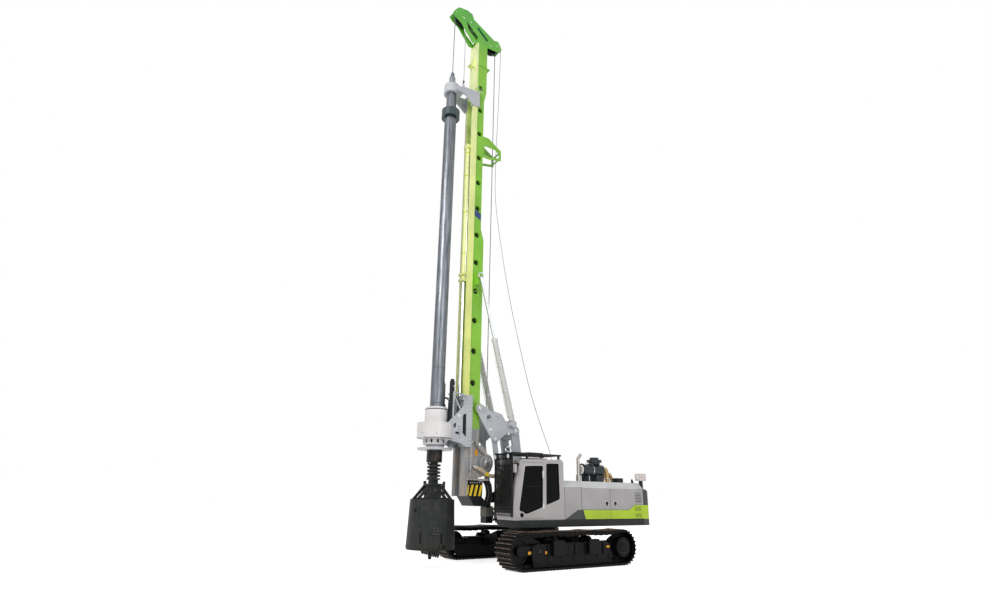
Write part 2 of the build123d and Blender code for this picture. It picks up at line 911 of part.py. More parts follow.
def air_cleaner():
    """Lying filter with a standing pre-cleaner and its saddle."""
    x_from, x_to, y, z, radius = filter_drum
    x, cap_z, cap_radius = pre_cleaner
    with BuildPart() as cleaner:
        fore_bar(y, z, radius, x_from, x_to)
        fore_bar(y, z, radius - 40, x_to, x_to + 25)
        upright(x, y, 60, z, cap_z)
        for reach, low, high in ((0.75, -30, 30), (1.0, 29, 110), (0.6, 109, 180)):
            upright(x, y, cap_radius * reach, cap_z + low, cap_z + high)
        block((x_from + 40, x_from + 340), (y - 150, y + 150), (hood_top_z + SEAT, z - radius + 30))
        block((x_to - 180, x_to - 120), (y - 150, y + 150), (hood_top_z + SEAT, z - radius + 60))
    return cleaner


def exhaust_stack():
    """Silencer pipe with its end bent to the rear."""
    x, y, radius = exhaust
    with BuildPart() as stack:
        upright(x, y, exhaust_silencer[0], hood_top_z + SEAT, exhaust_silencer[1])
        with BuildLine():
            Polyline(*((x + dx, y, z) for dx, z in exhaust_bend))
        with BuildSketch(Plane.XY.offset(exhaust_bend[0][1])):
            with Locations((x, y)):
                disc(radius)
        sweep(transition=Transition.RIGHT)
    return stack


def right_front_box():
    """Tank beside the linkage, opposite the cab."""
    with BuildPart() as box:
        outline(
            (
                (bulkhead_x + SEAT, deck_top_z + SEAT),
                (side_box_front_x, deck_top_z + SEAT),
                (side_box_front_x, side_box_top_z - side_box_chamfer),
                (side_box_front_x - side_box_chamfer, side_box_top_z),
                (bulkhead_x + SEAT, side_box_top_z),
            ),
            -half_width,
            -deck_side_step,
        )
    return box


def auxiliary_winch_frame():
    """Two cheeks on a base plate on the hood."""
    x, z = aux_winch
    reach = aux_drum_half + 20
    base = hood_top_z + SEAT
    with BuildPart() as frame:
        block((x - 250, x + 250), (aux_rope_y - reach - 30, aux_rope_y + reach + 30), (base, base + 25))
        for y_from in (aux_rope_y - reach - 30, aux_rope_y + reach):
            foot = ((x - 240, base + 20), (x + 240, base + 20))
            outline((*foot, (x + 80, z + 60), (x - 80, z + 60)), y_from, y_from + 30)
    return frame


def auxiliary_winch_drum():
    """Flanged drum between the cheeks."""
    half = aux_drum_half
    with BuildPart() as drum:
        barrel(aux_winch, 100, aux_rope_y - half, aux_rope_y + half)
        for edge in (-half, half - 20):
            cross_pin(aux_winch, 165, aux_rope_y + edge, aux_rope_y + edge + 20)
        reach = half + 20 - SEAT
        cross_pin(aux_winch, 35, aux_rope_y - reach, aux_rope_y + reach)
    return drum


# --- cab -----------------------------------------------------------------------------------------
def cab_side(y, inset=0.0):
    """The cab's side outline: a leaning windscreen, a rounded brow and a sloping roof."""
    foot = (cab_sill[0], deck_top_z + SEAT)
    belly = (cab_front_x, cab_sill[1])
    middle_z = (cab_sill[1] + cab_brow[1]) / 2
    rear_x = bulkhead_x + SEAT
    with BuildSketch(side_view(y)) as shape:
        with BuildLine():
            Line((rear_x, deck_top_z + SEAT), foot)
            Line(foot, belly)
            ThreePointArc(belly, (windscreen_x(middle_z), middle_z), cab_brow)
            ThreePointArc(cab_brow, (cab_brow[0] - 48, cab_brow[1] + 78), cab_roof_front)
            Line(cab_roof_front, cab_roof_rear)
            Line(cab_roof_rear, (rear_x, cab_roof_rear[1] - 75))
            Line((rear_x, cab_roof_rear[1] - 75), (rear_x, deck_top_z + SEAT))
        make_face()
        if inset:
            offset(amount=-inset)
    return shape.sketch


def windscreen_x(z):
    """The face of the bulging windscreen at this height."""
    share = (z - cab_sill[1]) / (cab_brow[1] - cab_sill[1])
    return cab_front_x + (cab_brow[0] - cab_front_x) * share + 4 * cab_bulge * share * (1 - share)


def cab_window(points, y_from, y_to):
    """A window with rounded corners through a side wall."""
    with BuildSketch(side_view(y_to)) as glass:
        with BuildLine():
            Polyline(*points, close=True)
        make_face()
        fillet(glass.vertices(), window_corner)
    extrude(glass.sketch, amount=y_to - y_from, mode=Mode.SUBTRACT)


def cab_frame():
    """Cab walls and floor, open for the door, with its windows cut."""
    y_in = cab_inner_y + cab_wall
    y_out = half_width - cab_wall
    with BuildPart() as frame:
        extrude(cab_side(half_width), amount=half_width - cab_inner_y)
        extrude(cab_side(y_out, cab_wall), amount=y_out - y_in, mode=Mode.SUBTRACT)
        corner = frame.faces().filter_by(GeomType.PLANE).sort_by(Axis.Y)[0].edges().sort_by(Axis.X)[-1]
        chamfer(corner, cab_corner)
        high = (cab_roof_base_z, cab_roof_z + RUN)
        block((bulkhead_x - 1, cab_front_x + 60), (cab_inner_y - 1, half_width + 1), high, Mode.SUBTRACT)
        extrude(door_side(half_width + 1, 0), amount=cab_wall + 2, mode=Mode.SUBTRACT)
        cab_window(quarter_window, y_out - 1, half_width + 1)
        glass = (y_in + cab_windscreen_margin, y_out - cab_windscreen_margin)
        block((cab_brow[0] - 120, cab_front_x + 60), glass, cab_windscreen_z, Mode.SUBTRACT)
        cab_window(inner_window, cab_inner_y - 1, y_in + 1)
        block((bulkhead_x - 10, bulkhead_x + cab_wall + 20), glass, rear_window_z, Mode.SUBTRACT)
    return frame


def cab_roof():
    """Roof panel of the cab, rounded over the windscreen."""
    with BuildPart() as roof:
        extrude(cab_side(half_width), amount=half_width - cab_inner_y)
        low = (deck_top_z, cab_roof_base_z + SEAT)
        block((bulkhead_x - 1, cab_front_x + 60), (cab_inner_y - 1, half_width + 1), low, Mode.SUBTRACT)
    return roof


def door_side(y, gap):
    """The door's side outline, drawn in from the cab's by its margin and the gap round it."""
    x_from = cab_door_rear_x + (SEAT if gap else 0)
    z_to = cab_roof_base_z - 20 - gap
    with BuildSketch(side_view(y)) as reach:
        with BuildLine():
            Polyline((x_from, 0), (cab_front_x, 0), (cab_front_x, z_to), (x_from, z_to), close=True)
        make_face()
    return cab_side(y, door_margin + gap) & reach.sketch


def cab_door():
    """Door with a big window and a round lower one."""
    y = half_width - cab_wall
    with BuildPart() as door:
        extrude(door_side(half_width, door_gap), amount=cab_wall)
        cab_window(door_window, y - 1, half_width + 1)
        cross_pin(porthole, porthole_radius, y - 1, half_width + 1, Mode.SUBTRACT)
    return door


def operator_seat():
    """Seat, backrest and pedestal inside the cab."""
    middle = (cab_inner_y + half_width) / 2
    with BuildPart() as seat:
        block((600, 950), (middle - 180, middle + 180), (deck_top_z + cab_wall + 2 * SEAT, 1560))
        block((480, 1060), (middle - 260, middle + 260), (1560, 1700))
        outline(((380, 1640), (520, 1640), (430, 2350), (310, 2350)), middle - 250, middle + 250)
    return seat


def cab_guard():
    """A slatted roof over the cab and a frame of bars before its windscreen."""
    y_far = cab_inner_y + 20
    y_near = half_width - 20
    z_from = guard_top_z - guard_depth
    x_to = guard_post_x - guard_bar
    legs = (bulkhead_x + 120, cab_roof_front[0] - 160)
    with BuildPart() as guard:
        for y in (y_far, y_near - guard_bar):
            block((bulkhead_x + 60, x_to + 1), (y, y + guard_bar), (z_from, guard_top_z))
            block((x_to, guard_post_x), (y, y + guard_bar), (guard_post_base_z, guard_top_z))
            for x in legs:
                slope = (cab_roof_front[1] - cab_roof_rear[1]) / (cab_roof_front[0] - cab_roof_rear[0])
                roof_z = cab_roof_rear[1] + (x - cab_roof_rear[0]) * slope
                block((x, x + 60), (y, y + guard_bar), (roof_z + SEAT, z_from + 1))
            for z in (cab_sill[1] + guard_bar, cab_brow[1] - guard_bar):
                low, high = z - guard_bar / 2, z + guard_bar / 2
                face = ((windscreen_x(high) + 2, high), (windscreen_x(low) + 2, low))
                outline((*face, (x_to + 1, low), (x_to + 1, high)), y, y + guard_bar)
        between = (y_far + guard_bar - 1, y_near - guard_bar + 1)
        for i in range(guard_roof_bars):
            x = bulkhead_x + 60 + i * (x_to - bulkhead_x - 120) / (guard_roof_bars - 1)
            block((x, x + 60), between, (z_from + 8, guard_top_z - 8))
        block(guard_raised_x, (y_far + 120, y_near - 120), (guard_top_z - 9, guard_top_z + 30))
        for z in guard_mesh_zs:
            block((x_to + 10, guard_post_x - 10), between, (z - 12, z + 12))
    return guard


# --- mast linkage ------------------------------------------------------------------------------------
def rear_arm():
    """Two tapered box beams joined across, pinned to the deck and to the bracket."""
    reach = hypot(arm_head[0] - arm_foot[0], arm_head[1] - arm_foot[1])
    half = arm_depth / 2
    beam = (
        (0, -half * 0.75),
        (reach * 0.3, -half * 0.9),
        (reach * 0.8, -half),
        (reach + 20, -half * 1.1),
        (reach + 100, -half * 0.4),
        (reach + 100, half * 0.4),
        (reach + 20, half),
        (reach * 0.8, half * 0.9),
        (reach * 0.3, half * 0.9),
        (0, half * 0.75),
    )
    with BuildPart() as arm:
        for side in (-1, 1):
            y = across(side, arm_inner_y, arm_outer_y)
            plane = Plane(
                origin=(arm_foot[0], y[0], arm_foot[1]),
                x_dir=(arm_head[0] - arm_foot[0], 0, arm_head[1] - arm_foot[1]),
                z_dir=(0, 1, 0),
            )
            with BuildSketch(plane) as shape:
                with BuildLine():
                    Polyline(*beam, close=True)
                make_face()
                with Locations((0, 0)):
                    disc(half * 0.75)
            extrude(shape.sketch, amount=y[1] - y[0])
            for pin in (arm_foot, arm_head):
                cross_pin(pin, pin_radius + SEAT, *y, Mode.SUBTRACT)
        cross_pin(luff_eye, 45, -arm_inner_y - 5, arm_inner_y + 5)
        cross_pin(lerp(arm_foot, arm_head, arm_cross_bar), 90, -arm_inner_y - 5, arm_inner_y + 5)
    return arm


def lerp(a, b, share):
    """A point part of the way from one to another."""
    return (a[0] + (b[0] - a[0]) * share, a[1] + (b[1] - a[1]) * share)


def front_struts():
    """Two slim beams before the arms."""
    with BuildPart() as struts:
        for side in (-1, 1):
            y = across(side, strut_inner_y, arm_outer_y)
            with BuildSketch(side_view(y[1])) as shape:
                with BuildLine():
                    Polyline(*bar_outline(strut_foot, strut_head, strut_depth * 0.85), close=True)
                make_face()
                with Locations(strut_foot, strut_head):
                    disc(strut_depth / 2)
            extrude(shape.sketch, amount=y[1] - y[0])
            for pin, play in ((strut_foot, SEAT), (strut_head, 2 * RUN)):
                cross_pin(pin, pin_radius + play, *y, Mode.SUBTRACT)
    return struts


def bar_outline(start, end, width):
    """The four corners of a straight bar."""
    length = hypot(end[0] - start[0], end[1] - start[1])
    dx = (end[1] - start[1]) / length * width / 2
    dz = (start[0] - end[0]) / length * width / 2
    return (
        (start[0] + dx, start[1] + dz),
        (end[0] + dx, end[1] + dz),
        (end[0] - dx, end[1] - dz),
        (start[0] - dx, start[1] - dz),
    )


def mast_bracket():
    """Two plates with bosses that carry the mast, joined across."""
    pins = (  # place, boss radius, pin radius, where the pin starts, how far it stands out
        (mast_pin, 112, mast_pin_radius, mast_half_width + 40, 45),
        (strut_head, 95, pin_radius, strut_inner_y - 20, 20),
        (arm_head, arm_boss_radius, pin_radius, arm_inner_y - 20, 20),
    )
    with BuildPart() as bracket:
        for side in (-1, 1):
            y = across(side, bracket_inner_y, bracket_outer_y)
            outline(bracket_outline, *y)
            for place, radius, *_ in pins:
                cross_pin(place, radius, *y)
            cross_pin(cylinder_foot, 115, *y)
            ring = across(side, bracket_outer_y - 1, bracket_outer_y + bracket_ring_height)
            cross_pin(bracket_hole, bracket_ring_radius, *ring)
            through = across(side, 0, bracket_outer_y + 20)
            cross_pin(bracket_hole, bracket_hole_radius, *through, Mode.SUBTRACT)
            for place, radius, pin, start, reach in pins:
                cross_pin(place, pin, *across(side, start, bracket_outer_y + 5))
                cross_pin(place, radius * 0.8, *across(side, bracket_outer_y - 1, bracket_outer_y + reach))
            cross_pin(cylinder_foot, 90, *across(side, bracket_outer_y - 5, mast_cylinder_y - 50))
            cross_pin(cylinder_foot, 105, *across(side, mast_cylinder_y + 50, mast_cylinder_y + 75))
            cross_pin(cylinder_foot, pin_radius - 10, *across(side, bracket_inner_y, mast_cylinder_y + 80))
        cross_pin(bracket_bar, bracket_bar_radius, -bracket_outer_y - 25, bracket_outer_y + 25)
    return bracket


def ram(foot, eye, y, barrel_radius, barrel_length, foot_pin_radius, rod_radius):
    """The barrel of one hydraulic cylinder, hollow for its rod."""
    plane = along(foot, eye, y)
    with BuildSketch(plane.offset(barrel_radius + 30)) as barrel:
        disc(barrel_radius)
    extrude(barrel.sketch, amount=barrel_length)
    with BuildSketch(plane.offset(foot_pin_radius + 15)) as shank:
        Rectangle(2 * (barrel_radius - 45), 2 * foot_pin_radius)
    extrude(shank.sketch, amount=barrel_radius)
    cross_pin(foot, foot_pin_radius + 35, y - barrel_radius + 45, y + barrel_radius - 45)
    cross_pin(foot, foot_pin_radius + SEAT, y - barrel_radius, y + barrel_radius, Mode.SUBTRACT)
    with BuildSketch(plane.offset(barrel_radius + 90)) as bore:
        disc(rod_radius + SEAT, Mode.SUBTRACT)
    extrude(bore.sketch, amount=barrel_length, mode=Mode.SUBTRACT)


def ram_rod(foot, eye, y, barrel_radius, barrel_length, rod_radius, eye_pin_radius, inside):
    """The rod of one hydraulic cylinder with its eye."""
    plane = along(foot, eye, y)
    length = hypot(eye[0] - foot[0], eye[1] - foot[1])
    start = barrel_radius + barrel_length - inside
    with BuildSketch(plane.offset(start)) as rod:
        disc(rod_radius)
    extrude(rod.sketch, amount=length - start)
    cross_pin(eye, eye_pin_radius + EYE_PLAY + 40, y - 35, y + 35)
    cross_pin(eye, eye_pin_radius + EYE_PLAY, y - 50, y + 50, Mode.SUBTRACT)


def luff_barrels():
    """Barrels of the two luffing cylinders."""
    with BuildPart() as barrels:
        for side in (-1, 1):
            y = side * luff_y
            ram(luff_foot, luff_eye, y, luff_barrel_radius, luff_barrel_length, 40, luff_rod_radius)
    return barrels


def luff_rods():
    """Rods of the two luffing cylinders."""
    with BuildPart() as rods:
        for side in (-1, 1):
            y = side * luff_y
            ram_rod(luff_foot, luff_eye, y, luff_barrel_radius, luff_barrel_length, luff_rod_radius, 45, 700)
    return rods


def mast_barrels():
    """Barrels of the two mast cylinders."""
    with BuildPart() as barrels:
        for side in (-1, 1):
            y = side * mast_cylinder_y
            ends = (cylinder_foot, mast_cylinder_eye)
            ram(*ends, y, mast_barrel_radius, mast_barrel_length, 45, mast_rod_radius)
    return barrels


def mast_rods():
    """Rods of the two mast cylinders."""
    with BuildPart() as rods:
        for side in (-1, 1):
            ram_rod(
                cylinder_foot,
                mast_cylinder_eye,
                side * mast_cylinder_y,
                mast_barrel_radius,
                mast_barrel_length,
                mast_rod_radius,
                45,
                2000,
            )
    return rods


# --- mast ------------------------------------------------------------------------------------------
def mast_outline():
    """The mast's side outline with its narrower middle and wider top box."""
    return (
        (mast_rear_x, mast_base_z),
        (mast_front_x, mast_base_z),
        (mast_front_x, top_box_base_z),
        (top_box_front_x, top_box_base_z + 60),
        (top_box_front_x, mast_top_z),
        (top_box_rear_x, mast_top_z),
        (top_box_rear_x, top_box_base_z),
        (mast_upper_rear_x, top_box_base_z - 450),
        (mast_upper_rear_x, mast_taper_z[1]),
        (mast_rear_x, mast_taper_z[0]),
    )


def cylinder_lug(side):
    """The lug and pin on the mast for the head of one mast cylinder."""
    x, z = mast_cylinder_eye
    lug = ((x - 110, z - 70), (x + 30, z - 300), (x + 90, z - 300), (x + 90, z + 120), (x - 110, z + 120))
    outline(lug, *across(side, mast_half_width - 5, mast_cylinder_y - mast_rod_radius - 2 * RUN))
    cross_pin(mast_cylinder_eye, 45, *across(side, mast_cylinder_y - 70, mast_cylinder_y + 60))


def mast_beam():
    """The long box of the mast with its rails, side holes, pivot bosses and cylinder lugs."""
    with BuildPart() as beam:
        outline(mast_outline(), -mast_half_width, mast_half_width)
        wide = mast_half_width + 20
        z_range = (top_collar_z, top_collar_z + top_collar)
        block((top_collar_rear_x, top_box_front_x - 10), (-wide, wide), z_range)
        for side in (-1, 1):
            y = across(side, rail_inner_y, rail_outer_y)
            block((mast_front_x, rail_front_x), y, (mast_base_z, rail_top_z))
            pocket = across(side, mast_half_width, mast_half_width - side_hole_depth)
            for i in range(side_hole_count):
                side_hole((side_hole_x, side_hole_first_z + i * side_hole_pitch), *pocket)
            boss = across(side, mast_half_width - 5, bracket_inner_y - RUN)
            cross_pin(mast_pin, 150, *boss)
            cross_pin(mast_pin, mast_pin_radius + SEAT, *boss, Mode.SUBTRACT)
            outline(top_lug, *across(side, *top_lug_y))
            cylinder_lug(side)
    return beam


def side_hole(place, y_from, y_to):
    """A shallow round pocket in the mast's side."""
    with BuildSketch(side_view(y_to)) as pocket:
        with Locations(place):
            RegularPolygon(side_hole_radius, side_count=side_hole_flats)
    extrude(pocket.sketch, amount=y_to - y_from, mode=Mode.SUBTRACT)


def lower_mast():
    """The grey lower section with its rails, foot flange and the winch cheeks."""
    top = mast_base_z - SEAT
    with BuildPart() as lower:
        block((mast_rear_x, mast_front_x), (-mast_half_width, mast_half_width), (lower_mast_base_z, top))
        block((mast_front_x - 10, mast_front_x + 30), (-rail_inner_y, rail_inner_y), (rail_foot_z, top))
        for side in (-1, 1):
            rail_y = across(side, rail_inner_y - 5, rail_outer_y)
            block((mast_front_x, rail_front_x), rail_y, (lower_mast_base_z - 1, top))
            block((foot_outline[0][0] + RUN, rail_front_x), rail_y, (rail_foot_z, lower_mast_base_z))
            cheek = across(side, winch_inner_y + 20, winch_inner_y + 20 + winch_frame_plate)
            outline(winch_cheek, *cheek)
            wall = across(side, mast_half_width - 5, winch_inner_y + 25)
            z_range = (winch_centre[1] - 300, winch_centre[1] + 380)
            block((mast_rear_x + 60, mast_rear_x + 150), wall, z_range)
        face = winch_inner_y + 20 + winch_frame_plate - 1
        for radius, height in winch_case:
            cross_pin(winch_centre, radius, face, face + height)
            face += height
        cross_pin(winch_centre, winch_case[2][0], -winch_inner_y - 90, -winch_inner_y - 45)
        flange = (lower_mast_base_z - foot_flange, lower_mast_base_z + 1)
        block(foot_flange_x, (-foot_half_width, foot_half_width), flange)
    return lower


def mast_foot():
    """The foot under the mast: a hollow hull between two plates, with a box behind it."""
    x_from, x_to, z_from, z_to = foot_box
    top = lower_mast_base_z - foot_flange - SEAT
    with BuildPart() as foot:
        outline(foot_outline, -foot_half_width, foot_half_width)
        x_range = (foot_outline[-1][0] + 60, foot_outline[0][0] - 60)
        block(x_range, (-220, 220), (foot_outline[0][1] - 1, top))
        block((x_from, x_to), (-foot_box_half_width, foot_box_half_width), (z_from, z_to))
    return foot


def mast_head():
    """The sheave head: two cut-out plates joined by a cap, a web and the sheave axles."""
    inner = head_plate_inner_y + 5
    x, z, length, width = head_slot
    with BuildPart() as head:
        for side in (-1, 1):
            y = across(side, head_plate_inner_y, head_plate_inner_y + head_plate)
            outline(head_outline, *y)
            outline(head_window, *y, Mode.SUBTRACT)
            with BuildSketch(side_view(y[1])) as slot:
                with Locations(Location((x, z), head_slot_lean)):
                    SlotOverall(length, width)
            extrude(slot.sketch, amount=head_plate, mode=Mode.SUBTRACT)
        cap_x = (top_box_rear_x, top_box_front_x)
        block(cap_x, (-mast_half_width, mast_half_width), (mast_top_z + SEAT, mast_top_z + 40))
        for web_x, web_top in head_webs:
            block((web_x, web_x + 30), (-inner, inner), (mast_top_z + 30, web_top))
        for place in (main_rear_sheave, (head_sheave_x, head_sheave_z)):
            cross_pin(place, main_axle_radius, -inner, inner)
        for place in (aux_rear_sheave, (aux_head_sheave_x, head_sheave_z)):
            cross_pin(place, aux_axle_radius, -inner, inner)
    return head


def sheave(place, radius, y, width, axle):
    """A grooved rope wheel with a thin web and a hub on its axle."""
    half = width / 2
    with BuildPart() as grooved:
        ribs = ((-half, -half / 3, 15), (-half / 3, half / 3, -12), (half / 3, half, 15))
        for y_from, y_to, reach in ribs:
            with BuildSketch(side_view(y + y_to)) as ring:
                with Locations(place):
                    RegularPolygon(radius + reach, side_count=wheel_flats)
            extrude(ring.sketch, amount=y_to - y_from)
        for y_from, y_to in ((-half, -half / 3), (half / 3, half)):
            with BuildSketch(side_view(y + y_to)) as dish:
                with Locations(place):
                    RegularPolygon(radius - 45, side_count=wheel_flats)
                    RegularPolygon(axle + 45, side_count=flat_limits[1][1], mode=Mode.SUBTRACT)
            extrude(dish.sketch, amount=y_to - y_from, mode=Mode.SUBTRACT)
        cross_pin(place, axle + SEAT, y - half, y + half, Mode.SUBTRACT)
    return grooved


def crowd_barrel():
    """The crowd cylinder's barrel, held by a head block and a lower clamp."""
    with BuildPart() as barrel:
        upright(crowd_x, 0, crowd_barrel_radius, crowd_barrel_base_z, crowd_barrel_top_z)
        low, high = crowd_barrel_base_z, crowd_barrel_top_z
        block((mast_front_x + SEAT, crowd_x + 100), (-120, 120), (high - 20, high + 120))
        block((mast_front_x + SEAT, crowd_x + 115), (-140, 140), (low, low + 90))
        block((mast_front_x + SEAT, crowd_x + 115), (-140, 140), (low + 210, low + 300))
        upright(crowd_x, 0, crowd_bore_radius, low + 60, high - 60, Mode.SUBTRACT)
        upright(crowd_x, 0, crowd_rod_radius + SEAT, low - 5, low + 70, Mode.SUBTRACT)
    return barrel


def crowd_rod():
    """The crowd cylinder's rod, pinned to the carriage."""
    with BuildPart() as rod:
        upright(crowd_x, 0, crowd_rod_radius, carriage_top_z - 120, crowd_barrel_base_z + 600)
    return rod


def rope_guide_basket():
    """Open frame of plates behind the mast that keeps the ropes apart."""
    with BuildPart() as basket:
        for hand in (-1, 1):
            y = across(hand, 225, 245)
            points = (
                (mast_upper_rear_x - SEAT, basket_base_z),
                (mast_upper_rear_x - SEAT, basket_top_z),
                (mast_upper_rear_x - 250, basket_top_z),
                (basket_rear_x, basket_top_z - 330),
                (basket_rear_x, basket_base_z + 120),
                (mast_upper_rear_x - 250, basket_base_z),
            )
            outline(points, *y)
            hole = (
                (mast_upper_rear_x - 70, basket_base_z + 90),
                (mast_upper_rear_x - 70, basket_top_z - 90),
                (mast_upper_rear_x - 240, basket_top_z - 90),
                (basket_rear_x + 90, basket_top_z - 390),
                (basket_rear_x + 90, basket_base_z + 190),
                (mast_upper_rear_x - 240, basket_base_z + 90),
            )
            outline(hole, y[0] - 1, y[1] + 1, Mode.SUBTRACT)
        for x, z in ((basket_rear_x + 40, basket_base_z + 200), (basket_rear_x + 40, basket_top_z - 400)):
            cross_pin((x, z), 30, -230, 230)
    return basket


def main_winch_drum():
    """Flanged drum of the main winch."""
    with BuildPart() as drum:
        barrel(winch_centre, winch_drum_radius, -winch_inner_y, winch_inner_y)
        for hand in (-1, 1):
            y = across(hand, winch_inner_y - 15, winch_inner_y + 10)
            cross_pin(winch_centre, winch_flange_radius, *y)
        reach = winch_inner_y + 20 - SEAT
        cross_pin(winch_centre, 60, -reach, reach)
    return drum


# --- carriage and rotary drive -------------------------------------------------------------------------------
def rotary_carriage():
    """Side plates with their stays, slide shoes and front plate of the crowd carriage."""
    reach = carriage_plate_inner_y + 5
    z_range = (carriage_base_z, carriage_top_z)
    with BuildPart() as carriage:
        for side in (-1, 1):
            y = across(side, carriage_plate_inner_y, carriage_plate_inner_y + carriage_plate)
            outline(carriage_side, *y)
            for hole in (carriage_slot, carriage_window):
                outline(hole, y[0] - 1, y[1] + 1, Mode.SUBTRACT)
            for start, end in (carriage_stay[:2], carriage_stay[1:], carriage_diagonal):
                outline(bar_outline(start, end, carriage_stay_width), *y)
            block((2600, 2770), across(side, rail_outer_y + SEAT, reach), z_range)
            block((rail_front_x + SEAT, 2860), across(side, rail_inner_y + 15, reach), z_range)
            block((2560, mast_front_x - RUN), across(side, mast_half_width + RUN, reach), z_range)
        block((2855, 2900), (-reach, reach), (3250, 4300))
        block((2855, 2900), (-reach, reach), (carriage_top_z - 150, carriage_top_z))
        block((2855, 2900), (-60, 60), (carriage_top_z - 340, carriage_top_z - 140))
        block((crowd_x - 50, 2860), (-60, 60), (carriage_top_z - 180, carriage_top_z - 120 - SEAT))
        upright(kelly_x, 0, gear_case_radius + SEAT, 3350, 3800, Mode.SUBTRACT)
    return carriage


def rotary_gearbox():
    """Housing of the rotary drive: gear case, sleeve above and neck below."""
    neck = gear_tier_radius + 15
    tiers = (
        (neck, *gear_neck_z),
        (gear_case_radius, gear_neck_z[1], gear_case_top_z),
        (gear_tier_radius, gear_case_top_z, gear_tier_top_z),
        (gear_tier_radius - 20, gear_tier_top_z, gear_cap_top_z),
    )
    with BuildPart() as gearbox:
        stack(kelly_x, 0, tiers)
        for i in range(neck_slot_count):
            with BuildSketch(shell_plane(360 * (i + 0.5) / neck_slot_count, sum(neck_slot_z) / 2)) as slot:
                Rectangle(neck_slot_width, neck_slot_z[1] - neck_slot_z[0])
            extrude(slot.sketch, amount=gear_case_radius - RUN, mode=Mode.SUBTRACT)
        upright(kelly_x, 0, drive_bore_radius, tiers[0][1] - 1, tiers[-1][2] + 1, Mode.SUBTRACT)
    return gearbox


def drive_motors():
    """Two hydraulic motors on planetary gears standing on the gear case."""
    cap_z = motor_top_z - 60
    tiers = (
        (motor_radius, gear_case_top_z + SEAT, motor_case_top_z),
        (75, motor_case_top_z, cap_z),
        (55, cap_z, motor_top_z),
    )
    with BuildPart() as motors:
        for side in (-1, 1):
            x = kelly_x - motor_offset * cos(radians(motor_angle))
            y = side * motor_offset * sin(radians(motor_angle))
            stack(x, y, tiers)
    return motors


def drive_sleeve():
    """The turning sleeve through the gearbox with its bottom flange."""
    flange_top = drive_flange_z + drive_flange_thickness
    with BuildPart() as sleeve:
        upright(kelly_x, 0, drive_flange_radius, drive_flange_z, flange_top)
        upright(kelly_x, 0, drive_sleeve_radius, flange_top - 1, drive_sleeve_top_z)
        ends = (drive_flange_z - 1, drive_sleeve_top_z + 1)
        upright(kelly_x, 0, drive_sleeve_bore_radius, *ends, Mode.SUBTRACT)
        with BuildSketch(Plane.XY.offset(drive_flange_z)):
            with Locations((kelly_x, 0)):
                with PolarLocations(flange_bolt_circle / 2, flange_bolt_count):
                    Circle(flange_bolt_radius)
        extrude(amount=drive_flange_thickness, mode=Mode.SUBTRACT)
    return sleeve


# --- kelly and bucket ------------------------------------------------------------------------------------------
def kelly_guide():
    """Ring round the kelly's head on a frame that slides on the mast's rails."""
    top_z = guide_side[-2][1]
    with BuildPart() as guide:
        upright(kelly_x, 0, guide_ring_radius, *guide_ring_z)
        for side in (-1, 1):
            outline(guide_side, *across(side, rail_outer_y + SEAT, rail_outer_y + 45))
            z_range = (guide_base_z, top_z)
            y = across(side, mast_half_width + RUN, rail_outer_y + 20)
            block((2560, mast_front_x - RUN), y, z_range)
            front = across(side, rail_inner_y + 10, rail_outer_y + 20)
            block((rail_front_x + SEAT, rail_front_x + 45), front, z_range)
        z_range = (guide_ring_z[0] + 65, guide_ring_z[1] - 63)
        block((3200, kelly_x), (-rail_outer_y - 20, rail_outer_y + 20), z_range)
        upright(kelly_x, 0, kelly_head_radius + SEAT, guide_base_z, guide_ring_z[1] + 90, Mode.SUBTRACT)
    return guide


def rope_swivel():
    """Swivel between the main rope and the kelly's head."""
    neck_z = swivel_top_z - 60
    with BuildPart() as swivel:
        base, waist = kelly_head_top_z + SEAT, neck_z - swivel_waist
        stack(kelly_x, 0, ((110, base, waist), (70, waist, neck_z), (40, neck_z, swivel_top_z)))
    return swivel


def tapered(radius, top_radius, z_from, z_to, mode=Mode.ADD):
    """A tapered round body on the bucket's axis, drawn with flats."""
    lean = degrees(atan2(radius - top_radius, z_to - z_from))
    with BuildSketch(Plane.XY.offset(z_from)) as ring:
        with Locations((kelly_x, 0)):
            RegularPolygon(radius, side_count=shell_flats)
    extrude(ring.sketch, amount=z_to - z_from, taper=lean, mode=mode)


def kelly_outer_tube():
    """Outer tube with drive keys, foot collar and the flanged head above."""
    key_base_z = drive_flange_z - 20
    tiers = (
        (kelly_foot_radius, kelly_foot_z, key_base_z),
        (kelly_tube_radius, key_base_z, kelly_collar_z[0]),
        (kelly_collar_radius, *kelly_collar_z),
        (kelly_head_radius, kelly_collar_z[1], kelly_head_top_z),
    )
    with BuildPart() as tube:
        stack(kelly_x, 0, tiers)
        with BuildSketch(Plane.XY.offset(key_base_z)):
            with Locations((kelly_x, 0)):
                with PolarLocations(kelly_tube_radius, kelly_key_count):
                    Rectangle(2 * kelly_key_height, kelly_key_width)
        extrude(amount=kelly_collar_z[0] - key_base_z)
        bore = kelly_tube_radius - kelly_tube_wall
        upright(kelly_x, 0, bore, kelly_foot_z - 1, kelly_collar_z[1] - 60, Mode.SUBTRACT)
    return tube


def kelly_inner_tube():
    """Inner tube with the spring stub, spring seat and square end."""
    seat_z = spring_base_z - 40
    tiers = (
        (190, seat_z, spring_base_z),
        (inner_stub_radius, spring_base_z, kelly_foot_z),
        (inner_tube_radius, kelly_foot_z, kelly_collar_z[1] - 80),
    )
    box = (kelly_x - kelly_box_half, kelly_x + kelly_box_half)
    with BuildPart() as tube:
        stack(kelly_x, 0, tiers)
        block(box, (-kelly_box_half, kelly_box_half), (bucket_top_z - 150, seat_z + 1))
    return tube


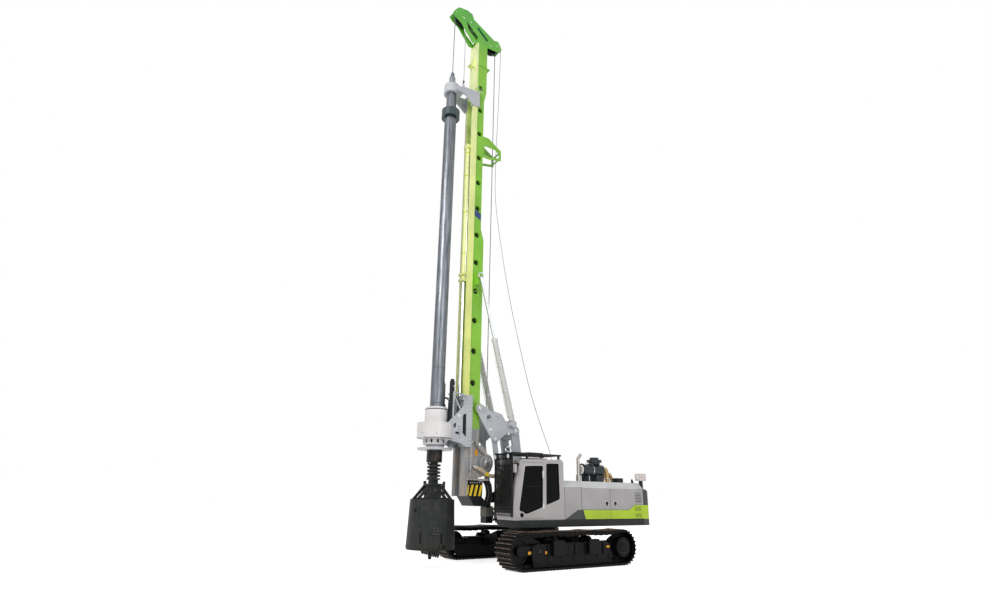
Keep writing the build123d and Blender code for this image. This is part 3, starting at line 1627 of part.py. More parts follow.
def kelly_spring():
    """The coil spring round the inner tube's stub, square in section and drawn with flats."""
    rise = kelly_foot_z - spring_base_z - spring_wire - spring_slack
    steps = spring_turns * flat_count
    points = [
        (
            kelly_x + spring_radius * cos(2 * pi * i / flat_count),
            spring_radius * sin(2 * pi * i / flat_count),
            spring_base_z + SEAT + spring_wire / 2 + rise * i / steps,
        )
        for i in range(steps + 1)
    ]
    with BuildPart() as spring:
        with BuildLine() as coil:
            Polyline(*points)
        start = Plane(origin=coil.line @ 0, x_dir=(0, 0, 1), z_dir=coil.line % 0)
        with BuildSketch(start):
            Rectangle(spring_wire, spring_wire)
        sweep(path=coil.line, transition=Transition.RIGHT)
    return spring


def bucket_frame():
    """Two cut-out plates, the box for the kelly's square and its top plate."""
    wide = kelly_box_half + 100
    for side in (-1, 1):
        y = across(side, *bucket_frame_y)
        outline([(kelly_x + x, z) for x, z in bucket_frame_plate], *y)
        for hand in (-1, 1):
            window = [(kelly_x + hand * x, z) for x, z in bucket_frame_window]
            outline(window, y[0] - 1, y[1] + 1, Mode.SUBTRACT)
    low, high = bucket_frame_z - 5, bucket_top_z - 40
    box = [(-185, low), (-130, high), (130, high), (185, low)]
    outline([(kelly_x + x, z) for x, z in box], -bucket_frame_y[0] - 1, bucket_frame_y[0] + 1)
    block((kelly_x - wide, kelly_x + wide), (-wide, wide), (bucket_top_z - 45, bucket_top_z))
    block((kelly_x + wide - 60, kelly_x + wide), (-wide, -wide + 60), (bucket_top_z - 1, bucket_top_z + 70))
    upright(kelly_x - 250, 170, 35, bucket_frame_z - 5, bucket_top_z + 60)
    half = kelly_box_half + SEAT
    well = (bucket_top_z - 150 - SEAT, bucket_top_z + 1)
    block((kelly_x - half, kelly_x + half), (-half, half), well, Mode.SUBTRACT)


def shell_plane(azimuth, z):
    """The upright plane through the bucket's axis that faces this way round it."""
    turn = radians(azimuth)
    return Plane(origin=(kelly_x, 0, z), x_dir=(-sin(turn), cos(turn), 0), z_dir=(cos(turn), sin(turn), 0))


def drilling_bucket():
    """Open-bottomed tapered shell under a frame with the kelly box."""
    slot_height = bucket_slot_z[1] - bucket_slot_z[0]
    lid_z = bucket_frame_z - 30
    with BuildPart() as bucket:
        tapered(bucket_radius, bucket_top_radius, bucket_base_z, bucket_frame_z)
        radii = (bucket_radius - bucket_wall, bucket_top_radius - bucket_wall)
        tapered(*radii, bucket_base_z, lid_z, Mode.SUBTRACT)
        with BuildSketch(shell_plane(*bucket_hole)) as hole:
            RegularPolygon(bucket_hole_radius, side_count=flat_limits[0][1])
        extrude(hole.sketch, amount=bucket_radius, mode=Mode.SUBTRACT)
        for azimuth in bucket_slots:
            with BuildSketch(shell_plane(azimuth, sum(bucket_slot_z) / 2)) as slot:
                Rectangle(bucket_slot_width, slot_height)
            extrude(slot.sketch, amount=bucket_radius + RUN, mode=Mode.SUBTRACT)
        bucket_frame()
        gate_hinge_lugs()
    return bucket


def tooth(y, side, base):
    """One flat digging tooth, tapered downwards and leaning into the ground."""
    root = tooth_width * 0.7
    lean = side * tooth_width
    points = ((-root, 0), (root, 0), (lean + 8, -tooth_reach), (lean - 8, -tooth_reach))
    outline([(kelly_x + x, base + z) for x, z in points], y - tooth_width / 2, y + tooth_width / 2)


def gate_hinge_lugs():
    """Two plates and a pin outside the bucket's lower edge."""
    near = gate_knuckle_length / 2 + 10
    far = near + 30
    for x_from, x_to in ((-far, -near), (near, far)):
        x_range = (kelly_x + x_from, kelly_x + x_to)
        block(x_range, (bucket_radius - 15, gate_hinge_y + 40), (bucket_base_z, bucket_base_z + 90))
        block(x_range, (bucket_radius, gate_hinge_y + 40), (gate_hinge_z, bucket_base_z + 1))
        fore_bar(gate_hinge_y, gate_hinge_z, 40, *x_range)
    fore_bar(gate_hinge_y, gate_hinge_z, gate_pin_radius, kelly_x - far, kelly_x + far)


def bucket_gate():
    """Hinged bottom with pilot and digging teeth."""
    base = bucket_base_z - bucket_gate_thickness - SEAT
    with BuildPart() as gate:
        with BuildSketch(Plane.XY.offset(base)) as floor:
            with Locations((kelly_x, 0)):
                RegularPolygon(bucket_radius - 10, side_count=shell_flats)
        extrude(floor.sketch, amount=bucket_gate_thickness)
        tongue = (kelly_x - gate_knuckle_length / 2, kelly_x + gate_knuckle_length / 2)
        block(tongue, (bucket_radius - 40, gate_hinge_y), (base, bucket_base_z - SEAT))
        fore_bar(gate_hinge_y, gate_hinge_z, gate_knuckle_radius, *tongue)
        fore_bar(gate_hinge_y, gate_hinge_z, gate_pin_radius + 1, *tongue, Mode.SUBTRACT)
        outline([(kelly_x + x, base + z) for x, z in pilot], -tooth_width / 2, tooth_width / 2)
        for side in (-1, 1):
            for i in range(tooth_count):
                tooth(side * (tooth_first + tooth_pitch * i), side, base)
    return gate


# --- the pieces ---------------------------------------------------------------------------------------------------
def pieces():
    """Every piece by its name."""
    made = {"car_body": car_body()}
    for name, side in (("left", 1), ("right", -1)):
        made[f"{name}_track_frame"] = track_frame(side)
        made[f"{name}_track"] = track(side)
        made[f"{name}_track_wheels"] = track_wheels(side)
    made["upper_frame"] = upper_frame()
    made["counterweight"] = counterweight()
    made["engine_hood"] = engine_hood()
    made["left_front_panel"] = side_panel(door_splits_x[0], bulkhead_x, 1)
    made["right_side_panel"] = side_panel(counterweight_front_x, bulkhead_x, -1)
    made["front_bulkhead"] = front_bulkhead()
    made["front_service_door"] = service_door(door_splits_x[1], door_splits_x[0], handle_xs[0])
    made["rear_service_door"] = service_door(counterweight_front_x, door_splits_x[1], handle_xs[1])
    made["engine_block"] = engine_block()
    made["air_cleaner"] = air_cleaner()
    made["exhaust_stack"] = exhaust_stack()
    made["right_front_box"] = right_front_box()
    made["auxiliary_winch_frame"] = auxiliary_winch_frame()
    made["auxiliary_winch_drum"] = auxiliary_winch_drum()
    made["cab_frame"] = cab_frame()
    made["cab_roof"] = cab_roof()
    made["cab_door"] = cab_door()
    made["operator_seat"] = operator_seat()
    made["cab_guard"] = cab_guard()
    made["rear_arm"] = rear_arm()
    made["front_struts"] = front_struts()
    made["mast_bracket"] = mast_bracket()
    made["luff_cylinder_barrels"] = luff_barrels()
    made["luff_cylinder_rods"] = luff_rods()
    made["mast_cylinder_barrels"] = mast_barrels()
    made["mast_cylinder_rods"] = mast_rods()
    made["mast_beam"] = mast_beam()
    made["lower_mast"] = lower_mast()
    made["mast_foot"] = mast_foot()
    made["mast_head"] = mast_head()
    made["crowd_cylinder_barrel"] = crowd_barrel()
    made["crowd_cylinder_rod"] = crowd_rod()
    made["rope_guide_basket"] = rope_guide_basket()
    made["main_winch_drum"] = main_winch_drum()
    main_head = (head_sheave_x, head_sheave_z)
    made["main_head_sheave"] = sheave(main_head, main_sheave_radius, 0, main_sheave_width, main_axle_radius)
    made["main_rear_sheave"] = sheave(
        main_rear_sheave, main_sheave_radius, 0, main_sheave_width, main_axle_radius
    )
    made["auxiliary_head_sheave"] = sheave(
        (aux_head_sheave_x, head_sheave_z), aux_sheave_radius, aux_rope_y, 60, aux_axle_radius
    )
    made["auxiliary_rear_sheave"] = sheave(
        aux_rear_sheave, aux_sheave_radius, aux_rope_y, aux_sheave_width, aux_axle_radius
    )
    made["rotary_carriage"] = rotary_carriage()
    made["rotary_gearbox"] = rotary_gearbox()
    made["drive_motors"] = drive_motors()
    made["drive_sleeve"] = drive_sleeve()
    made["kelly_guide"] = kelly_guide()
    made["rope_swivel"] = rope_swivel()
    made["kelly_outer_tube"] = kelly_outer_tube()
    made["kelly_inner_tube"] = kelly_inner_tube()
    made["kelly_spring"] = kelly_spring()
    made["drilling_bucket"] = drilling_bucket()
    made["bucket_gate"] = bucket_gate()
    return made


if __name__ == "__main__":
    os.makedirs("parts", exist_ok=True)
    for piece_name, piece in pieces().items():
        save(piece, piece_name)
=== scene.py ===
"""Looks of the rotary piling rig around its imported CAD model.

Places are in metres about the swing axis, as in the model's own source: X forward, Y to the
machine's left, Z up.  at() and Shape move them to the row's frame.
"""

import json
import math

import bpy
from mathutils import Matrix, Vector


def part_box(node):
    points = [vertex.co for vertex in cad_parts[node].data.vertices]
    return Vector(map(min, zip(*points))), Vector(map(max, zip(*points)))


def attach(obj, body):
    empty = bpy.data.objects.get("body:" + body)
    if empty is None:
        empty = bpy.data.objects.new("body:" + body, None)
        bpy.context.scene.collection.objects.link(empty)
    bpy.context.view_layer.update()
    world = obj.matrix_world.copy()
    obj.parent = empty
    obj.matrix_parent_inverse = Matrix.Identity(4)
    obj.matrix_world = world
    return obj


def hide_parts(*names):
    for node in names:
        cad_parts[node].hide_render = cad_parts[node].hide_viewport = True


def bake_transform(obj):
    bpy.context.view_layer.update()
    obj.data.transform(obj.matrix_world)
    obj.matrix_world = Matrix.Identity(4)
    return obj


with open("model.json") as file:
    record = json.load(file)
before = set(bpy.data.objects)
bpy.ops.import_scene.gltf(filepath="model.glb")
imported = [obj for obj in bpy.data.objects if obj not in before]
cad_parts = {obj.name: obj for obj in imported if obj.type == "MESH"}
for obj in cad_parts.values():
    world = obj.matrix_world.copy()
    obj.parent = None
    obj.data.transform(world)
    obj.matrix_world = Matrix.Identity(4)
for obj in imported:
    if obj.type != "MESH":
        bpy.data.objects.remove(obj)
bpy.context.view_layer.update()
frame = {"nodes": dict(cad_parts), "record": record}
NODES = frame["nodes"]
JOINTS = {joint["name"]: joint for joint in frame["record"]["behaviour"]["joints"]}
AXIS_X = JOINTS["upper_swing"]["pos_m"][0]

# --- view and light ----------------------------------------------------------
CAMERA_PLACE = (10.9335, 14.426, 1.805)
CAMERA_HEADING = -34.051  # degrees from the machine's -Y towards -X
CAMERA_TILT = 18.816
CAMERA_ROLL = 0.82
FOCAL_SHARE = 0.56346  # focal length over the picture's width
CAMERA_SHIFT = (-0.00124, 0.01239)
SENSOR_WIDTH = 36.0

# --- places taken from the frame ---------------------------------------------
HALF_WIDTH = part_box("left_front_panel")[1][1]
HOOD_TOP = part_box("engine_hood")[1][2]
KELLY_X = JOINTS["drive_spin"]["pos_m"][0] - AXIS_X
SWIVEL_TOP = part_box("rope_swivel")[1][2]
TRACK_HALF = (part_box("left_track")[1][1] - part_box("left_track")[0][1]) / 2
TRACK_MIDDLE = (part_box("left_track")[1][1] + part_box("left_track")[0][1]) / 2
CAB_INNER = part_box("cab_frame")[0][1]


def at(x, y, z):
    """A place about the swing axis, in the row's frame."""
    return Vector((x + AXIS_X, y, z))


# --- mesh building -----------------------------------------------------------
class Shape:
    """Collects closed bodies and becomes one object."""

    def __init__(self):
        self.points = []
        self.faces = []
        self.materials = []
        self.slots = []

    def add(self, points, faces, slot=0):
        """Points about the swing axis, with faces that count from the first of them."""
        base = len(self.points)
        self.points += [at(*p) for p in points]
        self.faces += [tuple(base + i for i in face) for face in faces]
        self.slots += [slot] * len(faces)
        return self

    def box(self, low, high, slot=0):
        """A block between two corners."""
        (x0, y0, z0), (x1, y1, z1) = low, high
        points = [(x, y, z) for z in (z0, z1) for y in (y0, y1) for x in (x0, x1)]
        faces = ((0, 2, 3, 1), (4, 5, 7, 6), (0, 1, 5, 4), (2, 6, 7, 3), (0, 4, 6, 2), (1, 3, 7, 5))
        return self.add(points, faces, slot)

    def plate(self, outline, near, far, slot=0):
        """A flat plate drawn in side view, from one y to another."""
        count = len(outline)
        points = [(x, near, z) for x, z in outline] + [(x, far, z) for x, z in outline]
        return self.add(points, side_faces(count, 2) + caps(count, 2), slot)

    def lathe(self, foot, axis, profile, sides=32, slot=0):
        """A turned body: profile holds (distance along the axis, radius)."""
        along, across, up = directions(axis)
        origin = Vector(foot)
        points = []
        for distance, radius in profile:
            for i in range(sides):
                turn = 2 * math.pi * i / sides
                out = across * math.cos(turn) + up * math.sin(turn)
                points.append(origin + along * distance + out * radius)
        return self.add(points, side_faces(sides, len(profile)) + caps(sides, len(profile)), slot)

    def bar(self, start, end, radius, sides=12, slot=0):
        """A round bar between two places."""
        axis = Vector(end) - Vector(start)
        return self.lathe(start, axis, ((0, radius), (axis.length, radius)), sides, slot)

    def ring(self, centre, axis, outer, inner, height, sides=36, slot=0):
        """A flat ring that stands on its centre along the axis."""
        along, across, up = directions(axis)
        points = []
        for distance, radius in ((0, inner), (0, outer), (height, outer), (height, inner)):
            for i in range(sides):
                turn = 2 * math.pi * i / sides
                out = across * math.cos(turn) + up * math.sin(turn)
                points.append(Vector(centre) + along * distance + out * radius)
        last = [(3 * sides + i, 3 * sides + (i + 1) % sides, (i + 1) % sides, i) for i in range(sides)]
        return self.add(points, side_faces(sides, 4) + last, slot)

    def bolt(self, foot, axis, size, slot=0):
        """A hexagon head on its washer."""
        height = size * 0.55
        self.lathe(foot, axis, ((-0.001, size * 0.75), (height * 0.2, size * 0.75)), 12, slot)
        crown = ((height * 0.2, size * 0.5), (height * 0.85, size * 0.5), (height, size * 0.42))
        return self.lathe(foot, axis, crown, 6, slot)

    def bolts(self, centre, axis, radius, count, size, start=0.0, slot=0):
        """Bolts on a circle."""
        _, across, up = directions(axis)
        for i in range(count):
            turn = start + 2 * math.pi * i / count
            place = Vector(centre) + (across * math.cos(turn) + up * math.sin(turn)) * radius
            self.bolt(place, axis, size, slot)
        return self

    def tube(self, route, radius, sides=10, slot=0):
        """A round tube through the places of a route."""
        places = [Vector(p) for p in route]
        points = []
        up = None
        for index, place in enumerate(places):
            before = places[max(index - 1, 0)]
            after = places[min(index + 1, len(places) - 1)]
            along = (after - before).normalized()
            if up is None:
                up = directions(along)[2]
            across = up.cross(along).normalized()
            up = along.cross(across).normalized()
            for i in range(sides):
                turn = 2 * math.pi * i / sides
                points.append(place + (across * math.cos(turn) + up * math.sin(turn)) * radius)
        return self.add(points, side_faces(sides, len(places)) + caps(sides, len(places)), slot)

    def done(self, name, body, materials, bevel=0.0, smooth=35):
        """The finished object, riding on its body."""
        mesh = bpy.data.meshes.new(name)
        mesh.from_pydata(self.points, [], self.faces)
        piece = bpy.data.objects.new(name, mesh)
        bpy.context.scene.collection.objects.link(piece)
        for item in materials if isinstance(materials, (list, tuple)) else (materials,):
            mesh.materials.append(item)
        mesh.polygons.foreach_set("material_index", self.slots)
        tidy_normals(mesh)
        if bevel:
            edge = piece.modifiers.new("edge", "BEVEL")
            edge.width = bevel
            edge.segments = 2
            edge.limit_method = "ANGLE"
            edge.angle_limit = math.radians(40)
            edge.use_clamp_overlap = True
        if smooth:
            shade(mesh, smooth)
        if body:
            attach(piece, body)
        return piece


def directions(axis):
    """Three unit vectors, the first along the axis."""
    along = Vector(axis).normalized()
    helper = Vector((0, 0, 1)) if abs(along.z) < 0.9 else Vector((1, 0, 0))
    across = helper.cross(along).normalized()
    return along, across, along.cross(across)


def side_faces(count, rows):
    """Faces between neighbouring rows of a closed outline."""
    return [
        (
            row * count + i, row * count + (i + 1) % count, (row + 1) * count + (i + 1) % count,
            (row + 1) * count + i
        )
        for row in range(rows - 1)
        for i in range(count)
    ]


def caps(count, rows):
    """The two end faces of a body whose rows are closed outlines."""
    last = (rows - 1) * count
    return [tuple(reversed(range(count))), tuple(range(last, last + count))]


def tidy_normals(mesh):
    """Turn every face outwards."""
    import bmesh

    work = bmesh.new()
    work.from_mesh(mesh)
    bmesh.ops.recalc_face_normals(work, faces=work.faces)
    work.to_mesh(mesh)
    work.free()


def shade(mesh, degrees):
    """Smooth shading that keeps edges sharper than the angle."""
    mesh.polygons.foreach_set("use_smooth", [True] * len(mesh.polygons))
    mesh.set_sharp_from_angle(angle=math.radians(degrees))


def curve(places, steps=8):
    """A smooth line through the places, ending on the first and the last."""
    ends = [Vector(p) for p in places]
    padded = [2 * ends[0] - ends[1], *ends, 2 * ends[-1] - ends[-2]]
    line = []
    for a, b, c, d in zip(padded, padded[1:], padded[2:], padded[3:]):
        for i in range(steps):
            t = i / steps
            point = 0.5 * (
                2 * b + (c - a) * t + (2 * a - 5 * b + 4 * c - d) * t * t + (3 * b - a - 3 * c + d) * t**3
            )
            line.append(point)
    return line + [ends[-1]]


# --- materials ---------------------------------------------------------------
def srgb(red, green, blue):
    """A display colour as the renderer's own."""
    def level(value):
        """One channel, from its display value to linear light."""
        value /= 255
        return value / 12.92 if value < 0.04045 else ((value + 0.055) / 1.055) ** 2.4

    return (level(red), level(green), level(blue), 1.0)


class Finish:
    """One node-based material built round a principled shader."""

    def __init__(self, name):
        self.material = bpy.data.materials.new(name)
        self.material.use_nodes = True
        self.nodes = self.material.node_tree.nodes
        self.links = self.material.node_tree.links
        self.shader = self.nodes["Principled BSDF"]
        self.place = self.nodes.new("ShaderNodeTexCoord").outputs["Object"]

    def node(self, kind, **settings):
        """A new shader node with its settings."""
        item = self.nodes.new("ShaderNode" + kind)
        for key, value in settings.items():
            setattr(item, key, value)
        return item

    def noise(self, scale, detail=5.0, stretch=None):
        """A noise value over the piece, stretched along the axes if asked."""
        source = self.place
        if stretch:
            mapping = self.node("Mapping")
            mapping.inputs["Scale"].default_value = stretch
            self.links.new(source, mapping.inputs["Vector"])
            source = mapping.outputs[0]
        texture = self.node("TexNoise")
        texture.inputs["Scale"].default_value = scale
        texture.inputs["Detail"].default_value = detail
        self.links.new(source, texture.inputs["Vector"])
        return texture.outputs["Fac"]

    def steps(self, value, stops):
        """A colour ramp over a value: stops hold (position, colour)."""
        ramp = self.node("ValToRGB")
        ramp.color_ramp.elements.remove(ramp.color_ramp.elements[1])
        for index, (position, colour) in enumerate(stops):
            element = ramp.color_ramp.elements[0] if index == 0 else ramp.color_ramp.elements.new(position)
            element.position = position
            element.color = colour
        self.links.new(value, ramp.inputs["Fac"])
        return ramp.outputs["Color"]

    def math(self, operation, first, second=None, third=None, clamp=False):
        """A math node over values or numbers."""
        item = self.node("Math", operation=operation, use_clamp=clamp)
        for index, value in enumerate((first, second, third)):
            if value is None:
                continue
            if isinstance(value, (int, float)):
                item.inputs[index].default_value = value
            else:
                self.links.new(value, item.inputs[index])
        return item.outputs[0]

    def mix(self, share, first, second, kind="MIX"):
        """Two colours mixed by a share."""
        item = self.node("Mix", data_type="RGBA", blend_type=kind)
        for socket, value in ((item.inputs[0], share), (item.inputs[6], first), (item.inputs[7], second)):
            if isinstance(value, (int, float, tuple)):
                socket.default_value = value
            else:
                self.links.new(value, socket)
        return item.outputs[2]

    def axis(self, name):
        """One coordinate of the place, about the swing axis."""
        split = self.node("SeparateXYZ")
        self.links.new(self.place, split.inputs[0])
        value = split.outputs[name]
        return self.math("SUBTRACT", value, AXIS_X) if name == "X" else value

    def between(self, value, low, high, soft=0.002):
        """1 where the value lies between two limits."""
        rise = self.math("MULTIPLY_ADD", value, 1 / soft, -low / soft, clamp=True)
        fall = self.math("MULTIPLY_ADD", value, -1 / soft, high / soft, clamp=True)
        return self.math("MULTIPLY", rise, fall)

    def worn(self, colour, rough, dust, dust_colour, grain, bump, metal):
        """Wires the colour, its dust and stains, the roughness and a fine bump."""
        cloud = self.noise(1.3, 6.0)
        tone = self.steps(cloud, ((0.3, (0.86, 0.86, 0.86, 1)), (0.7, (1.08, 1.08, 1.08, 1))))
        toned = self.mix(1.0, colour, tone, "MULTIPLY")
        patch = self.noise(5.0, 8.0)
        dirt = self.steps(patch, ((0.45, (0, 0, 0, 1)), (0.75, (dust, dust, dust, 1))))
        self.links.new(self.mix(dirt, toned, dust_colour), self.shader.inputs["Base Color"])
        fine = self.noise(grain, 4.0)
        spread = self.math("MULTIPLY_ADD", fine, 0.24, rough - 0.12, clamp=True)
        self.links.new(spread, self.shader.inputs["Roughness"])
        relief = self.node("Bump")
        relief.inputs["Strength"].default_value = bump
        relief.inputs["Distance"].default_value = 0.004
        self.links.new(fine, relief.inputs["Height"])
        self.links.new(relief.outputs["Normal"], self.shader.inputs["Normal"])
        self.shader.inputs["Metallic"].default_value = metal
        return self.material


DUST = srgb(150, 140, 125)


def finish(
    name, colour, rough=0.45, dust=0.1, dust_colour=DUST, grain=60.0, bump=0.08, metal=0.0, coat=0.0,
    shine=0.5
):
    """A plain finish of one colour with dust, fine grain and uneven gloss."""
    item = Finish(name)
    item.shader.inputs["Coat Weight"].default_value = coat
    item.shader.inputs["Specular IOR Level"].default_value = shine
    return item.worn(srgb(*colour), rough, dust, dust_colour, grain, bump, metal)


def lime_finish():
    """Mast paint: yellower low down, a little paler halfway and greener at the head, with a painted highlight
    that makes the front face below the head pale lime, paler with height.
    """
    item = Finish("lime_paint")
    front = item.math("GREATER_THAN", item.axis("X"), MAST_FRONT)
    height = item.math("MULTIPLY", item.axis("Z"), 1 / HEAD_TOP)
    colour = item.steps(height, (
        (0.18, srgb(142, 196, 58)),
        (0.4, srgb(124, 190, 40)),
        (0.9, srgb(130, 194, 42)),
        (0.93, srgb(104, 186, 44)),
        (1.0, srgb(72, 172, 46)),
    ))
    low = item.math("LESS_THAN", item.axis("Z"), HEAD_FROM)
    # painted highlight: the front face below the head turns pale lime, paler with height
    pale = item.mix(height, srgb(226, 234, 110), srgb(232, 242, 176))
    colour = item.mix(item.math("MULTIPLY", front, low), colour, pale)
    item.shader.inputs["Coat Weight"].default_value = 0.25
    return item.worn(colour, 0.34, 0.05, DUST, 40.0, 0.05, 0.0)


def housing_finish():
    """Grey panels with the slanted lime band, its dark front wedge and the charcoal tail."""
    item = Finish("housing_paint")
    x, z = item.axis("X"), item.axis("Z")
    band_step = item.math("MULTIPLY_ADD", x, -1 / BAND_STEP[1], -BAND_STEP[0] / BAND_STEP[1], clamp=True)
    band_top = item.math("MULTIPLY_ADD", band_step, BAND_STEP[2], BAND_TOP)
    below = item.math("GREATER_THAN", band_top, z)
    lean = item.math("MULTIPLY_ADD", z, BAND_LEAN, BAND_FRONT - BAND_LEAN * BAND_TOP)
    behind = item.math("GREATER_THAN", lean, x)
    band = item.math("MULTIPLY", below, behind)
    wedge_front = item.math("MULTIPLY_ADD", z, -1.9, WEDGE_FRONT + 1.9 * BAND_TOP)
    wedge = item.math("MULTIPLY", below, item.math("GREATER_THAN", wedge_front, x))
    edge = item.math("GREATER_THAN", item.math("ADD", band_top, 0.016), z)
    edge = item.math("MULTIPLY", edge, item.math("GREATER_THAN", item.math("ADD", lean, 0.09), x))
    tail = item.math(
        "MULTIPLY", item.math("GREATER_THAN", TAIL_FRONT, x), item.math("GREATER_THAN", z, band_top)
    )
    colour = item.mix(edge, srgb(176, 173, 174), srgb(112, 104, 118))
    colour = item.mix(wedge, colour, srgb(38, 47, 47))
    colour = item.mix(band, colour, srgb(186, 218, 20))
    colour = item.mix(tail, colour, srgb(34, 41, 43))
    colour = item.mix(item.math("LESS_THAN", z, SKIRT_TOP), colour, srgb(25, 30, 32))
    item.shader.inputs["Coat Weight"].default_value = 0.2
    return item.worn(colour, 0.38, 0.05, DUST, 50.0, 0.04, 0.0)


def bucket_finish():
    """Dark worn paint with long scratches and soil towards the cutting edge."""
    item = Finish("bucket_steel")
    scratch = item.noise(3.0, 10.0, stretch=(6, 6, 0.5))
    low = item.math("MULTIPLY_ADD", item.axis("Z"), -1.4, 1.5, clamp=True)
    soil = item.math("MULTIPLY", low, item.noise(7.0, 9.0))
    colour = item.steps(scratch, (
        (0.35, srgb(34, 37, 38)), (0.6, srgb(40, 43, 44)), (0.7, srgb(50, 51, 51)), (0.76, srgb(38, 40, 41)),
    ))
    colour = item.mix(soil, colour, srgb(50, 46, 42))
    item.shader.inputs["Specular IOR Level"].default_value = 0.2
    return item.worn(colour, 0.52, 0.06, DUST, 90.0, 0.2, 0.1)


def kelly_finish():
    """Bright worn steel with long dark and light streaks along it."""
    item = Finish("kelly_steel")
    marks = item.noise(9.0, 8.0, stretch=(5, 5, 0.15))
    colour = item.steps(marks, (
        (0.3, srgb(70, 76, 84)), (0.5, srgb(112, 118, 126)), (0.68, srgb(146, 150, 156)),
        (0.8, srgb(84, 84, 84)),
    ))
    foot = item.math("LESS_THAN", item.axis("Z"), KELLY_DARK_BELOW)
    collar = item.between(item.axis("Z"), 14.2, 14.6)
    colour = item.mix(collar, colour, srgb(72, 84, 88))
    colour = item.mix(foot, colour, srgb(34, 34, 34))
    return item.worn(colour, 0.36, 0.18, srgb(120, 104, 88), 120.0, 0.1, 0.75)


def stained_finish():
    """Grey mast paint with long warm stains that grow towards the foot."""
    item = Finish("lower_mast_paint")
    streak = item.noise(4.0, 9.0, stretch=(4, 4, 0.4))
    low = item.math("MULTIPLY_ADD", item.axis("Z"), -0.5, 2.2, clamp=True)
    colour = item.steps(
        streak, ((0.35, srgb(140, 146, 154)), (0.55, srgb(158, 161, 165)), (0.7, srgb(176, 168, 158)))
    )
    warm = item.math("MULTIPLY", low, item.steps(streak, ((0.45, (0, 0, 0, 1)), (0.62, (0.8, 0.8, 0.8, 1)))))
    colour = item.mix(warm, colour, srgb(190, 170, 146))
    item.shader.inputs["Coat Weight"].default_value = 0.15
    return item.worn(colour, 0.36, 0.1, DUST, 60.0, 0.06, 0.0)


def track_finish():
    """Brown worn faces on the shoes, black oily sides and soil between the grousers."""
    item = Finish("track_steel")
    rust = item.noise(11.0, 9.0)
    colour = item.steps(rust, (
        (0.3, srgb(52, 46, 43)), (0.5, srgb(88, 76, 70)), (0.66, srgb(126, 110, 100)),
        (0.8, srgb(74, 66, 60)),
    ))
    split = item.node("SeparateXYZ")
    item.links.new(item.node("NewGeometry").outputs["True Normal"], split.inputs[0])
    side = item.math("GREATER_THAN", item.math("ABSOLUTE", split.outputs["Y"]), 0.7)
    colour = item.mix(side, colour, srgb(22, 23, 23))
    item.shader.inputs["Specular IOR Level"].default_value = 0.2
    return item.worn(colour, 0.6, 0.12, srgb(84, 74, 64), 70.0, 0.35, 0.1)


def strand_finish(name, tone, pitch):
    """Laid wire strands as a slanted stripe in colour and bump."""
    item = Finish(name)
    wave = item.node("TexWave", wave_type="BANDS", bands_direction="DIAGONAL")
    wave.inputs["Scale"].default_value = pitch
    wave.inputs["Distortion"].default_value = 0.4
    item.links.new(item.place, wave.inputs["Vector"])
    dark = tuple(int(v * 0.55) for v in tone)
    colour = item.steps(wave.outputs["Fac"], ((0.2, srgb(*dark)), (0.7, srgb(*tone))))
    return item.worn(colour, 0.42, 0.1, DUST, 200.0, 0.3, 0.6)


def glass_finish():
    """Dark tinted glass."""
    item = Finish("tinted_glass")
    dust = item.noise(4.0, 8.0)
    item.links.new(
        item.steps(dust, ((0.4, srgb(4, 6, 7)), (0.8, srgb(10, 13, 14)))), item.shader.inputs["Base Color"]
    )
    item.links.new(item.math("MULTIPLY_ADD", dust, 0.08, 0.02), item.shader.inputs["Roughness"])
    item.shader.inputs["Alpha"].default_value = 0.93
    item.shader.inputs["Specular IOR Level"].default_value = 0.1
    return item.material


def floor_finish():
    """Pale ground: white where it is seen directly, plain under the lights, with the shadow kept."""
    item = Finish("floor")
    item.shader.inputs["Base Color"].default_value = (0.86, 0.86, 0.86, 1)
    item.shader.inputs["Roughness"].default_value = 0.95
    item.shader.inputs["Specular IOR Level"].default_value = 0.0
    path = item.node("LightPath")
    seen = item.math("MAXIMUM", path.outputs["Is Camera Ray"], path.outputs["Is Glossy Ray"])
    seen = item.math("MAXIMUM", seen, path.outputs["Is Transmission Ray"])
    item.shader.inputs["Emission Color"].default_value = (1, 1, 1, 1)
    item.links.new(item.math("MULTIPLY", seen, FLOOR_GLOW), item.shader.inputs["Emission Strength"])
    return item.material


# band on the housing: places about the swing axis
MAST_FRONT = 2.612
HEAD_FROM = 17.89
HEAD_TOP = 19.28
KELLY_DARK_BELOW = 3.03
BAND_TOP = 1.488
BAND_FRONT = -0.68
BAND_LEAN = 0.35  # the band's front edge leans forward by this much per metre
BAND_STEP = (2.61, 0.25, 0.148)  # behind the axis by, length of the slope, rise
WEDGE_FRONT = -0.46
TAIL_FRONT = -3.258
SKIRT_TOP = 1.226
FLOOR_GLOW = 0.74

LIME = lime_finish()
HOUSING = housing_finish()
BUCKET = bucket_finish()
KELLY = kelly_finish()
TRACK = track_finish()
GLASS = glass_finish()
ROPE = strand_finish("wire_rope", (150, 150, 148), 60.0)
# the hood's grey is lighter than the side panels' grey: painted light from the sky on the top
HOOD = finish("hood_grey_painted_skylight", (205, 206, 208), 0.36, 0.06, coat=0.2)
CAB_GREY = finish("cab_paint", (184, 180, 181), 0.36, 0.05, coat=0.25)
PALE = finish("pale_grey_paint", (186, 190, 196), 0.4, 0.07, coat=0.15)
ARM_GREY = finish("arm_paint", (180, 186, 192), 0.4, 0.08, coat=0.1)
SAND = finish("barrel_paint", (205, 203, 202), 0.36, 0.08, coat=0.2)
GEAR = finish("gear_case_paint", (222, 220, 221), 0.4, 0.07, coat=0.15)
MAST_GREY = stained_finish()
WINCH_GREY = finish("winch_paint", (150, 152, 156), 0.42, 0.1)
DARK = finish("dark_paint", (24, 27, 29), 0.42, 0.04, coat=0.0, shine=0.22)
DEEP = finish("undercarriage_paint", (9, 10, 11), 0.5, 0.05, srgb(52, 47, 42), shine=0.15)
